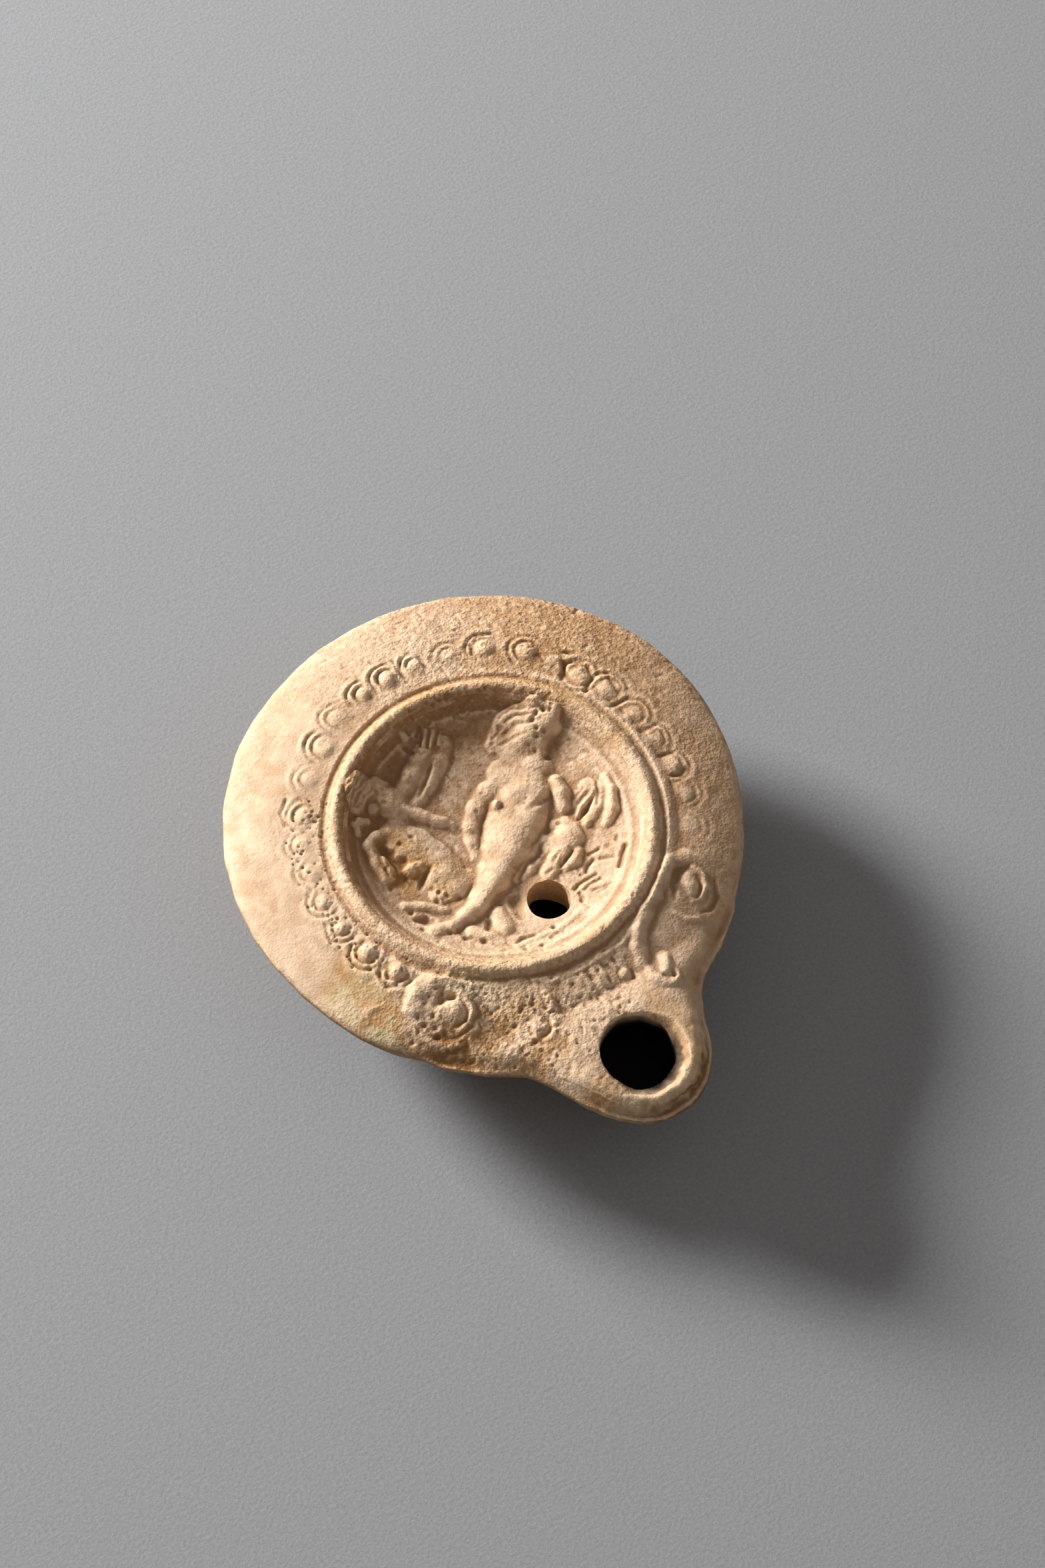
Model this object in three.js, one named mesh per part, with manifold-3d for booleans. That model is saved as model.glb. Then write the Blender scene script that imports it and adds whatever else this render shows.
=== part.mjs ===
// A mould-made clay oil lamp: a round, closed bowl with a sunk picture disc on top, a short
// round-ended spout for the wick, and two holes into the hollow inside. Millimetres, +Z up,
// the spout towards -Y, the origin at the centre of the flat base.
import * as THREE from 'three';
import { mergeVertices } from 'three/addons/utils/BufferGeometryUtils.js';
import Module from 'manifold-3d';

// Driving dimensions, in millimetres.
const BODY_RADIUS = 42.5; // at the seam where the two mould halves meet
const SEAM_HEIGHT = 21.4;
const BASE_RADIUS = 21;
const WALL = 3; // fired clay, all round
const RIM_HEIGHT = 27.2; // crest of the ring round the picture disc
const RIM_RADIUS = 25.2;
const DISC_HEIGHT = 22.9; // floor of the picture disc
const DISC_RADIUS = 21.3;
const DISC_CENTRE_Y = -3.2; // the disc is cast a little nearer the spout
const SHOULDER_HEIGHT = 25.2; // beside the rim
const SPOUT_CENTRE_Y = -48.6; // centre of the spout's round end
const SPOUT_RADIUS = 12;
const SPOUT_ROOT = 18.8; // how far the spout runs back into the bowl
const SPOUT_TOP = 24.5;
const SPOUT_UNDERSIDE = 9.5;
const WICK_HOLE_RADIUS = 6.15;
const FILLING_HOLE = { x: 2.1, y: -18.2, radius: 3.6 };
const EGG_RING_RADIUS = 31.6; // the stamped egg pattern, round the disc's centre
const EGG_STEP = 10.6; // degrees from one egg to the next
const EGG_COUNT = 24;

const wasm = await Module();
wasm.setup();

// A closed geometry as a manifold solid. Slivers at a lathe's poles are dropped.
function solid(geometry) {
  const bare = geometry.clone();
  bare.deleteAttribute('normal');
  bare.deleteAttribute('uv');
  const merged = mergeVertices(bare, 1e-4);
  const index = merged.index.array;
  const kept = [];
  for (let i = 0; i < index.length; i += 3) {
    const [a, b, c] = [index[i], index[i + 1], index[i + 2]];
    if (a !== b && b !== c && c !== a) kept.push(a, b, c);
  }
  return new wasm.Manifold(new wasm.Mesh({
    numProp: 3,
    vertProperties: new Float32Array(merged.attributes.position.array),
    triVerts: new Uint32Array(kept),
  }));
}

// The solid's faces as a three.js geometry.
function geometryOf(manifold) {
  const mesh = manifold.getMesh();
  const geometry = new THREE.BufferGeometry();
  geometry.setAttribute('position', new THREE.BufferAttribute(new Float32Array(mesh.vertProperties), 3));
  geometry.setIndex(new THREE.BufferAttribute(new Uint32Array(mesh.triVerts), 1));
  geometry.computeVertexNormals();
  return geometry;
}

// A profile of [radius, height] points turned round an upright axis at (0, y).
function turned(profile, segments, y = 0) {
  const points = profile.map(([radius, height]) => new THREE.Vector2(radius, height));
  return new THREE.LatheGeometry(points, segments).rotateX(Math.PI / 2).translate(0, y, 0);
}

// Points along a cubic curve between two profile points, without the first one.
function curve(from, pullFrom, pullTo, to, steps) {
  const bezier = new THREE.CubicBezierCurve(...[from, pullFrom, pullTo, to].map((p) => new THREE.Vector2(...p)));
  return bezier.getPoints(steps).slice(1).map((p) => [p.x, p.y]);
}

// The bowl outside: flat base, deep rounded bowl, seam, and a shoulder that rises to the disc.
function bowlOutside() {
  const seam = [BODY_RADIUS, SEAM_HEIGHT];
  const brow = [BODY_RADIUS - 3.6, SEAM_HEIGHT + 2.3];
  const shoulderTop = [RIM_RADIUS - 6, SHOULDER_HEIGHT];
  return turned([
    [0, 0],
    [BASE_RADIUS, 0],
    ...curve([BASE_RADIUS, 0], [30, 4], [42, 12], seam, 6),
    ...curve(seam, [42.3, 23], [41, 23.3], brow, 3),
    ...curve(brow, [36, 24.5], [32, 25.2], shoulderTop, 3),
    [0, SHOULDER_HEIGHT],
  ], 48);
}

// The hollow inside, one wall thickness in from the outside.
function bowlInside() {
  const seam = [BODY_RADIUS - WALL, SEAM_HEIGHT - 1.2];
  const brow = [BODY_RADIUS - 6, SEAM_HEIGHT - 0.2];
  return turned([
    [0, WALL],
    [BASE_RADIUS - 2, WALL],
    ...curve([BASE_RADIUS - 2, WALL], [29, 6.2], [39, 13], seam, 5),
    brow,
    [RIM_RADIUS + 3, SHOULDER_HEIGHT - WALL - 0.2],
    [RIM_RADIUS, SHOULDER_HEIGHT - WALL - 1],
    [DISC_RADIUS, DISC_HEIGHT - WALL],
    [0, DISC_HEIGHT - WALL],
  ], 36);
}

// The ring round the picture disc: a round-topped outer ring, then a thin inner one.
function discRings() {
  return turned([
    [DISC_RADIUS - 1, DISC_HEIGHT - 1],
    [RIM_RADIUS + 1.8, DISC_HEIGHT - 1],
    [RIM_RADIUS + 1.6, SHOULDER_HEIGHT],
    [RIM_RADIUS + 1, RIM_HEIGHT - 0.5],
    [RIM_RADIUS, RIM_HEIGHT],
    [RIM_RADIUS - 0.8, RIM_HEIGHT - 0.6],
    [RIM_RADIUS - 1.7, RIM_HEIGHT - 2.3],
    [RIM_RADIUS - 2.4, RIM_HEIGHT - 2.2],
    [RIM_RADIUS - 3.1, RIM_HEIGHT - 3.2],
    [DISC_RADIUS - 1, DISC_HEIGHT - 1],
  ], 48, DISC_CENTRE_Y);
}

// What is sunk into the shoulder inside the rings, down to the picture disc's floor.
function discSinking() {
  return turned([
    [0, DISC_HEIGHT],
    [DISC_RADIUS + 2, DISC_HEIGHT],
    [RIM_RADIUS, RIM_HEIGHT + 1],
    [0, RIM_HEIGHT + 1],
  ], 48, DISC_CENTRE_Y);
}

// Half the spout's width at a distance along it: a half circle, then straight sides that
// flare in a hollow curve and end just inside the bowl's round outline. The distance runs
// from the round end's centre.
function spoutHalfWidth(along, inset) {
  if (along < 0) return Math.sqrt(Math.max(0, (SPOUT_RADIUS - inset) ** 2 - along ** 2));
  const flare = SPOUT_RADIUS + 0.3 * Math.min(1, along) + 0.42 * along + 0.95 * Math.max(0, along - 5.4);
  const y = SPOUT_CENTRE_Y + along;
  if (-y > BODY_RADIUS - 2) return flare - inset;
  const bowl = Math.sqrt(BODY_RADIUS ** 2 - y ** 2) - 0.8;
  return Math.min(flare, bowl + 0.55 * (SPOUT_ROOT - along)) - inset;
}

// The spout as rings of points, each across it: flat on top, round below.
function spout(inset) {
  const around = 16;
  const endRadius = SPOUT_RADIUS - inset;
  const stations = [];
  for (let i = 1; i <= 6; i += 1) stations.push(-endRadius * Math.cos((i / 6) * (Math.PI / 2)));
  for (let i = 1; i <= 7; i += 1) stations.push((SPOUT_ROOT * i) / 7);
  const positions = [0, SPOUT_CENTRE_Y - endRadius, SEAM_HEIGHT];
  for (const along of stations) {
    const half = spoutHalfWidth(along, inset);
    const toEnd = Math.min(0, along) / endRadius;
    const round = Math.sqrt(Math.max(0, 1 - toEnd * toEnd));
    const slope = 0.16 * Math.min(0, along);
    const rise = (SPOUT_TOP - inset + slope - SEAM_HEIGHT) * (inset ? 1 : Math.min(1, round * 1.6));
    const drop = (SEAM_HEIGHT - SPOUT_UNDERSIDE - inset) * round ** 0.8;
    for (let k = 0; k < around; k += 1) {
      const angle = (2 * Math.PI * k) / around;
      const power = Math.sin(angle) > 0 ? 0.45 : 0.9;
      const x = half * Math.sign(Math.cos(angle)) * Math.abs(Math.cos(angle)) ** 0.8;
      const up = Math.sign(Math.sin(angle)) * Math.abs(Math.sin(angle)) ** power;
      positions.push(x, SPOUT_CENTRE_Y + along, SEAM_HEIGHT + up * (up > 0 ? rise : drop));
    }
  }
  const index = [];
  const last = positions.length / 3;
  positions.push(0, SPOUT_CENTRE_Y + SPOUT_ROOT, SEAM_HEIGHT - 4);
  for (let k = 0; k < around; k += 1) {
    const next = (k + 1) % around;
    index.push(0, 1 + k, 1 + next);
    for (let s = 0; s < stations.length - 1; s += 1) {
      const a = 1 + s * around + k;
      const b = 1 + s * around + next;
      index.push(a, a + around, b, b, a + around, b + around);
    }
    const end = 1 + (stations.length - 1) * around;
    index.push(end + next, end + k, last);
  }
  const geometry = new THREE.BufferGeometry();
  geometry.setAttribute('position', new THREE.Float32BufferAttribute(positions, 3));
  geometry.setIndex(index);
  return geometry;
}

// An upright round cutter or collar that widens from one radius to another.
function upright(x, y, bottomRadius, topRadius, bottom, top, segments) {
  return new THREE.CylinderGeometry(topRadius, bottomRadius, top - bottom, segments)
    .rotateX(Math.PI / 2)
    .translate(x, y, (bottom + top) / 2);
}

// A low round boss that stands out of a surface at height z.
function boss(x, y, z, radius, rise) {
  return new THREE.SphereGeometry(radius, 8, 4).rotateX(Math.PI / 2).scale(1, 1, rise / radius).translate(x, y, z);
}

// A stamped mark: a round boss with a ring round it, in one turned piece. It leans by an
// angle towards one side, so that there the ring sinks into the clay and it reads as a U.
function stamp(x, y, z, scale, towards = 0, lean = 0) {
  const profile = [[0, -0.6], [3, -0.6], [2.5, 0.3], [1.8, -0.15], [0.9, 0.5], [0, 0.6]];
  return turned(profile, 8)
    .scale(scale, scale, Math.sqrt(scale))
    .rotateY(lean)
    .rotateZ(towards)
    .translate(x, y, z);
}

// Height of the shoulder at a distance from the bowl's axis.
function shoulderHeight(radius) {
  return SHOULDER_HEIGHT - 1.5 * (Math.max(0, radius - 28) / 11) ** 1.6;
}

// The stamped egg pattern. It starts beside the spout and runs round the back.
function eggPattern() {
  const pieces = [];
  const first = -90 + 58;
  for (let i = 0; i < EGG_COUNT; i += 1) {
    const angle = THREE.MathUtils.degToRad(first + EGG_STEP * i);
    const x = EGG_RING_RADIUS * Math.cos(angle);
    const y = DISC_CENTRE_Y + 1 + EGG_RING_RADIUS * Math.sin(angle);
    const z = shoulderHeight(Math.hypot(x, y));
    pieces.push(stamp(x, y, z, 1, angle, -0.09));
  }
  return pieces;
}

// The scrolls at the spout's root: a large one each side and a small one nearer the wick hole.
function scrolls() {
  const pieces = [];
  for (const side of [-1, 1]) {
    pieces.push(stamp(21.9 * side, -27.6, SHOULDER_HEIGHT - 0.7, 1.5));
    pieces.push(stamp(11.5 * side, -37.3, SPOUT_TOP, 1.1));
  }
  pieces.push(boss(5.1, -34.9, SHOULDER_HEIGHT - 0.4, 1, 0.8));
  return pieces;
}

// A limb of the picture: a round-ended taper that lies on the disc and stands up by rise.
function limb(from, to, rise) {
  const [x1, y1, r1] = from;
  const [x2, y2, r2] = to;
  const length = Math.hypot(x2 - x1, y2 - y1);
  const profile = [];
  for (let i = 0; i <= 3; i += 1) {
    const a = (i / 3) * (Math.PI / 2);
    profile.push(new THREE.Vector2(r1 * Math.sin(a), -r1 * Math.cos(a)));
  }
  for (let i = 0; i <= 3; i += 1) {
    const a = (i / 3) * (Math.PI / 2);
    profile.push(new THREE.Vector2(r2 * Math.cos(a), length + r2 * Math.sin(a)));
  }
  profile[0].x = 0;
  profile[profile.length - 1].x = 0;
  return new THREE.LatheGeometry(profile, 8)
    .rotateZ(Math.atan2(y2 - y1, x2 - x1) - Math.PI / 2)
    .scale(1, 1, rise / Math.max(r1, r2))
    .translate(x1, y1, DISC_HEIGHT - 0.1);
}

// The picture: a slim figure that leans back across the disc, a second one that reaches out
// to it from the left, and a spray of leaves on the right. Each row is a limb's two ends.
function picture() {
  const leaningFigure = [
    [[13.4, 9.6, 2.9], [16.2, 8.4, 2.5], 2.6], // head and hair
    [[14, 6.6, 1.6], [11.6, 2.6, 2.6], 2], // neck to shoulder
    [[10.6, 1.4, 4], [4.4, -1.8, 3.6], 2.7], // chest and waist
    [[4.4, -1.8, 3.6], [-0.6, -5.4, 3.2], 2.5], // hips
    [[-0.6, -5.6, 3], [-6.4, -10, 2], 2.2], // thigh
    [[-6.4, -10, 1.9], [-14.4, -13.6, 1.2], 1.6], // shin and foot
    [[5.6, -5.6, 1.3], [0, -9.8, 1.1], 1.1], // the leg behind
    [[6.4, 4, 1.3], [-1.4, 1.8, 1.2], 1.5], // arm that bends over the hip
    [[-1.4, 1.8, 1.2], [-4.1, -3.6, 1], 1.3],
    [[14.4, -0.4, 1.4], [12.4, -4.2, 1], 1.4], // the other arm, cut short
  ];
  const reachingFigure = [
    [[-15.6, 12.6, 2.6], [-13.4, 12.4, 2.4], 2.4], // head
    [[-13.4, 10, 1.6], [-12.8, 3.6, 3.2], 1.6], // neck and chest
    [[-18.4, 5.2, 1.1], [-18, -1.6, 1.3], 1.7], // folded arm
    [[-13.6, -2, 1.8], [-9.6, -4.6, 2.6], 2], // hip
    [[-17.6, -6, 1.2], [-12, -9.6, 1.2], 1.1], // leg
    [[-10, 8.8, 1], [-4.8, 2.6, 0.8], 1.3], // arm that reaches down
    [[-9.8, 10.6, 1.3], [-1, 15.4, 1.6], 1.5], // raised arm and hand
  ];
  const leaves = [
    [[14.2, -6.6, 1], [17.6, -2.6, 1], 1.1],
    [[20.2, -3.6, 0.9], [17.6, -8.8, 1], 1.3],
    [[11.2, -7.4, 1.9], [7.4, -11, 1.9], 1.5],
    [[8, -16.6, 1.1], [11.4, -16.8, 1.1], 0.9],
    [[14.6, -17.4, 0.9], [16.8, -15.2, 0.9], 1],
  ];
  const ground = [
    [[-12.6, -16.6, 1.2], [-7, -17.6, 1.2], 0.9],
    [[-5.6, -21.4, 0.9], [-1, -21.8, 0.9], 0.9],
    [[-5, -13.4, 0.9], [-3.4, -19, 0.9], 0.9],
  ];
  return [...leaningFigure, ...reachingFigure, ...leaves, ...ground].map((row) => limb(...row));
}

// One piece of clay: the outside with its relief, less the hollow and the two holes.
function lampSolid() {
  let lamp = solid(bowlOutside()).add(solid(spout(0)));
  lamp = lamp.subtract(solid(discSinking())).add(solid(discRings()));
  for (const piece of [...picture(), ...eggPattern(), ...scrolls()]) lamp = lamp.add(solid(piece));
  lamp = lamp.subtract(solid(bowlInside())).subtract(solid(spout(WALL)));
  const hole = FILLING_HOLE;
  lamp = lamp.subtract(solid(upright(hole.x, hole.y, hole.radius, hole.radius, 10, 30, 20)));
  const wickTop = SPOUT_TOP + 2;
  lamp = lamp.subtract(solid(upright(0, SPOUT_CENTRE_Y, WICK_HOLE_RADIUS, WICK_HOLE_RADIUS, 16, wickTop, 28)));
  return lamp;
}

const clay = new THREE.MeshStandardMaterial({ name: 'fired clay', color: '#cfae83', roughness: 0.9, metalness: 0 });
const lamp = new THREE.Mesh(geometryOf(lampSolid()), clay);
lamp.name = 'lamp';

const model = new THREE.Group();
model.add(lamp);

export default model;
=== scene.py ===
import math

import bpy
import numpy as np
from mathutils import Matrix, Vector


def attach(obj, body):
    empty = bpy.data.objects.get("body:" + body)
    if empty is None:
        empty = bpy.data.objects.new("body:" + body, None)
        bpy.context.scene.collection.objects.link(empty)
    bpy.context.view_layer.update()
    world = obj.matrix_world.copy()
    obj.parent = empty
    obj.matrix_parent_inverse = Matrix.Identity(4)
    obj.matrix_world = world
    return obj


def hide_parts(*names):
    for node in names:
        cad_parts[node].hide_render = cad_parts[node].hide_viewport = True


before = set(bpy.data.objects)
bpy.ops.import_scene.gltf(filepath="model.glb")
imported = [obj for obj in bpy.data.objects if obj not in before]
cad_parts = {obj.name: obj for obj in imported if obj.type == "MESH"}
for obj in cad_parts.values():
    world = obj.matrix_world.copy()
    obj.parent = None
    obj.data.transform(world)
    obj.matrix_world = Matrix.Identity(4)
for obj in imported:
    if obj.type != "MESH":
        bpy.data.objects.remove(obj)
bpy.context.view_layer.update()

# Camera. A long lens looks steeply down on the lamp from the spout's side, a little to the left,
# so the lamp lies turned on the floor with its spout towards the lower right.
VIEW_TARGET = Vector((0.0146, 0.01267, 0.0))
VIEW_DISTANCE = 0.736
VIEW_TURN = math.radians(-30.2)
VIEW_RISE = math.radians(62.3)
view_back = Vector((math.sin(VIEW_TURN) * math.cos(VIEW_RISE), -math.cos(VIEW_TURN) * math.cos(VIEW_RISE), math.sin(VIEW_RISE)))
camera_data = bpy.data.cameras.new("studio_camera")
camera_data.lens = 100
camera_data.sensor_width = 36
camera_data.clip_start = 0.01
camera = bpy.data.objects.new("studio_camera", camera_data)
camera.location = VIEW_TARGET + view_back * VIEW_DISTANCE
camera.rotation_euler = (-view_back).to_track_quat("-Z", "Y").to_euler()
bpy.context.scene.collection.objects.link(camera)
bpy.context.scene.camera = camera

# Light. One soft lamp stands low on the far left, so the relief throws shadows to the lower right,
# a wide dim panel fills them from the front right, and the room gives a little light all round.
def soft_panel(name, turn, rise, distance, size, watts, warmth):
    """A square light panel that looks at the middle of the lamp."""
    data = bpy.data.lights.new(name, "AREA")
    data.shape = "SQUARE"
    data.size = size
    data.energy = watts
    data.color = warmth
    panel = bpy.data.objects.new(name, data)
    turn, rise = math.radians(turn), math.radians(rise)
    away = Vector((math.cos(turn) * math.cos(rise), math.sin(turn) * math.cos(rise), math.sin(rise)))
    panel.location = Vector((0.0, 0.0, 0.02)) + away * distance
    panel.rotation_euler = away.to_track_quat("Z", "Y").to_euler()
    bpy.context.scene.collection.objects.link(panel)


soft_panel("key_panel", 116, 23, 1.2, 0.34, 33.5, (1.0, 0.965, 0.92))
soft_panel("fill_panel", -50, 65, 1.6, 1.4, 1.8, (1.0, 0.98, 0.96))
world = bpy.data.worlds.new("studio_room")
world.use_nodes = True
world.node_tree.nodes["Background"].inputs["Color"].default_value = (1.0, 0.92, 0.84, 1)
world.node_tree.nodes["Background"].inputs["Strength"].default_value = 0.23
bpy.context.scene.world = world
bpy.context.scene.view_settings.view_transform = "Standard"

# Floor. A sheet of plain pale grey backdrop paper, which runs out of view on all sides.
# Uncoated paper is fully matt, with a fine felted grain.
def linear(hex_colour):
    """An sRGB hex colour as the linear colour that shader sockets take."""
    parts = [int(hex_colour[k:k + 2], 16) / 255 for k in (0, 2, 4)]
    return [c / 12.92 if c <= 0.04045 else ((c + 0.055) / 1.055) ** 2.4 for c in parts] + [1.0]


def add_node(tree, kind, settings=None, links=None):
    """A new shader node: settings go to its properties and sockets, links join its sockets to outputs."""
    node = tree.nodes.new(kind)
    for key, value in (settings or {}).items():
        if isinstance(key, str) and hasattr(node, key):
            setattr(node, key, value)
        else:
            node.inputs[key].default_value = value
    for key, output in (links or {}).items():
        tree.links.new(output, node.inputs[key])
    return node


bpy.ops.object.select_all(action="DESELECT")
bpy.ops.mesh.primitive_grid_add(x_subdivisions=8, y_subdivisions=8, size=3.0, location=(0, 0, 0))
floor = bpy.context.object
floor.name = "backdrop_paper"
paper = bpy.data.materials.new("grey_backdrop_paper")
paper.use_nodes = True
tree = paper.node_tree
paper_shader = tree.nodes["Principled BSDF"]
paper_shader.inputs["Roughness"].default_value = 0.9
paper_shader.inputs["Specular IOR Level"].default_value = 0.2
place = add_node(tree, "ShaderNodeTexCoord")
felt = add_node(tree, "ShaderNodeTexNoise", {"Scale": 1700.0, "Detail": 4.0, "Roughness": 0.7}, {"Vector": place.outputs["Object"]})
tone = add_node(tree, "ShaderNodeMix", {"data_type": "RGBA", 6: linear("767A7F"), 7: linear("A7AAAE")},
                {0: felt.outputs["Fac"]})
tree.links.new(tone.outputs[2], paper_shader.inputs["Base Color"])
felt_bump = add_node(tree, "ShaderNodeBump", {"Strength": 0.5, "Distance": 0.00016}, {"Height": felt.outputs["Fac"]})
tree.links.new(felt_bump.outputs["Normal"], paper_shader.inputs["Normal"])
floor.data.materials.append(paper)

# The lamp's clay body. Potters pressed sheets of clay into a lower and an upper mould and joined them
# at the widest part, so the body is one shell: a deep round bowl on a flat foot, a broad shoulder that
# falls away from a raised ring, and a sunk picture disc that sits a little nearer to the spout.
MM = 0.001
DISC_Y = -3.2


def turn_up(rings, segments, name):
    """Turns a closed pot from rings of (radius, height, centre y) in mm: the first ring's floor is
    filled, each next ring is extruded from the last one, and the last is filled."""
    bpy.ops.object.select_all(action="DESELECT")
    radius, height, middle = rings[0]
    bpy.ops.mesh.primitive_circle_add(vertices=segments, radius=radius * MM, fill_type="NGON",
                                      location=(0, middle * MM, height * MM))
    pot = bpy.context.object
    pot.name = name
    bpy.ops.object.transform_apply(location=True, rotation=True, scale=True)
    bpy.ops.object.mode_set(mode="EDIT")
    bpy.ops.mesh.select_all(action="SELECT")
    for next_radius, next_height, next_middle in rings[1:]:
        bpy.ops.mesh.extrude_region_move(
            TRANSFORM_OT_translate={"value": (0, (next_middle - middle) * MM, (next_height - height) * MM)})
        swell = next_radius / radius
        bpy.ops.transform.resize(value=(swell, swell, 1), center_override=(0, next_middle * MM, next_height * MM))
        radius, height, middle = next_radius, next_height, next_middle
    bpy.ops.mesh.select_all(action="SELECT")
    bpy.ops.mesh.normals_make_consistent(inside=False)
    bpy.ops.object.mode_set(mode="OBJECT")
    return pot


def bow(start, pull_a, pull_b, end, steps):
    """Points of a smooth curve from start to end, without the first one."""
    t = np.linspace(0, 1, steps + 1)[1:, None]
    start, pull_a, pull_b, end = (np.array(p, float) for p in (start, pull_a, pull_b, end))
    path = (1 - t) ** 3 * start + 3 * (1 - t) ** 2 * t * pull_a + 3 * (1 - t) * t ** 2 * pull_b + t ** 3 * end
    return [(float(r), float(z), 0.0) for r, z in path]


bowl_rings = [(14.0, 0.5, 0.0), (15.6, 0.45, 0.0), (16.2, 0.15, 0.0), (17.0, 0.0, 0.0), (20.2, 0.0, 0.0), (21.0, 0.5, 0.0)]
bowl_rings += bow((21.0, 0.5), (29, 3), (39.6, 11.0), (42.3, 19.6), 14)
bowl_rings += bow((42.3, 19.6), (42.7, 20.9), (42.4, 21.8), (40.9, 22.5), 6)
bowl_rings += bow((40.9, 22.5), (38.0, 23.9), (34.5, 25.0), (30.5, 25.45), 7)
bowl_rings += [(29.3, 25.5, -1.6), (28.7, 25.5, -2.6)]
bowl_rings += [(r, z, DISC_Y) for r, z in (
    (28.3, 25.45), (28.0, 25.2), (27.7, 25.05), (27.4, 25.25), (27.0, 25.85), (26.5, 26.5), (26.0, 26.85), (25.5, 26.85),
    (25.0, 26.6), (24.5, 26.1), (24.0, 25.4), (23.4, 24.6), (22.9, 24.05), (22.5, 23.75), (22.2, 23.8), (21.8, 23.55),
    (21.2, 23.15), (19.0, 22.3), (16.0, 21.5), (12.0, 20.8), (8.0, 20.4), (4.0, 20.2))]
body = turn_up(bowl_rings, 256, "lamp_clay")

# The spout. It is modelled by hand on the mould: flat on top with rolled edges, round below,
# with a half-round end, and its sides flare out in hollow curves until they meet the bowl.
SPOUT_Y = -48.6
spout_widths = ((-59.6, 0.0, 0.0), (-59.4, 1.4, 3.6), (-58.6, 3.6, 6.0), (-57.4, 5.5, 7.8), (-55.6, 7.6, 9.6), (-53.8, 9.3, 10.9),
                (-50, 11.8, 12.6), (-48, 12.9, 13.3), (-46, 14.1, 14.1), (-44, 15.4, 15.1), (-42, 17.0, 16.6),
                (-40, 19.9, 19.2), (-38, 23.1, 22.4), (-34, 27.6, 26.9), (-30, 30.0, 29.3), (-24, 30.8, 30.1))


def spout_half(y, side):
    """Half the spout's width at y, on the left (side -1) or on the right (side 1)."""
    ys, left_widths, right_widths = zip(*spout_widths)
    return float(np.interp(y, ys, left_widths if side < 0 else right_widths))


def spout_plan(inset, root_share=1.0, steps=32):
    """The spout's outline drawn in by inset, as points round it, and at its root by root_share as much.
    The half-round end shrinks towards its centre and the hollow sides move straight in."""
    end_ys = SPOUT_Y - 11.0 * np.cos(np.linspace(0, math.pi / 2, steps))
    side_ys = np.linspace(SPOUT_Y, -24, steps)[1:]
    shrink = 1 - inset / 12
    slant = np.interp(side_ys, (SPOUT_Y, -44, -40, -36, -31, -24), (1.0, 1.2, 1.7, 1.6, 1.2, 1.1))
    slant = slant * (1 + (root_share - 1) * np.clip((side_ys + 47) / 6, 0, 1))
    outline = []
    for side in (1, -1):
        end = [(side * max(spout_half(y, side), 0.05) * shrink, SPOUT_Y + (y - SPOUT_Y) * shrink) for y in end_ys]
        flank = [(side * max(spout_half(y, side) - inset * k, 1.5), y) for y, k in zip(side_ys, slant)]
        outline.append(end + flank)
    return np.array(outline[0] + outline[1][::-1])


bpy.ops.object.select_all(action="DESELECT")
plan = spout_plan(0.0)
bpy.ops.mesh.primitive_circle_add(vertices=len(plan), radius=0.01, fill_type="NGON", location=(0, 0, 0))
spout = bpy.context.object
spout.name = "spout_clay"
levels = [(9.4, 8.6), (7.8, 9.2), (5.8, 10.6), (4.2, 12.4), (2.9, 14.4), (1.7, 16.4), (0.7, 18.2), (0.1, 19.4), (0.2, 20.6),
          (0.7, 21.7), (1.3, 22.8), (2.0, 23.7), (2.9, 24.3), (4.2, 24.6)]
bpy.ops.object.mode_set(mode="EDIT")
bpy.ops.mesh.select_all(action="SELECT")
for k in range(1, len(levels)):
    bpy.ops.mesh.extrude_region_move(TRANSFORM_OT_translate={"value": (0, 0, 0.001)})
bpy.ops.object.mode_set(mode="OBJECT")
across = np.array([v.co for v in spout.data.vertices], float)
layer = np.round(across[:, 2] / 0.001).astype(int)
spot = np.round((np.degrees(np.arctan2(across[:, 0], across[:, 1])) % 360) / 360 * len(plan)).astype(int) % len(plan)
for k, (inset, height) in enumerate(levels):
    shape = spout_plan(inset, 1.0 if height < 21.0 else 1.6)
    on = layer == k
    across[on, 0] = shape[spot[on], 0] * MM
    across[on, 1] = shape[spot[on], 1] * MM
    tip = np.clip((SPOUT_Y + 6 - shape[spot[on], 1]) / 12, 0, 1)
    drop = 0.0 if height < 21 else 1.0
    sink = np.clip((shape[spot[on], 1] + 41) / 9, 0, 1) * np.clip((np.abs(shape[spot[on], 0]) - 8) / 8, 0, 1)
    across[on, 2] = (height + (1 - drop) * 0.9 * (1 - tip) - drop * (0.9 * tip + 1.6 * sink)) * MM
spout.data.vertices.foreach_set("co", across.ravel())
bpy.ops.object.mode_set(mode="EDIT")
bpy.ops.mesh.select_all(action="SELECT")
bpy.ops.mesh.normals_make_consistent(inside=False)
bpy.ops.object.mode_set(mode="OBJECT")

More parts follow.
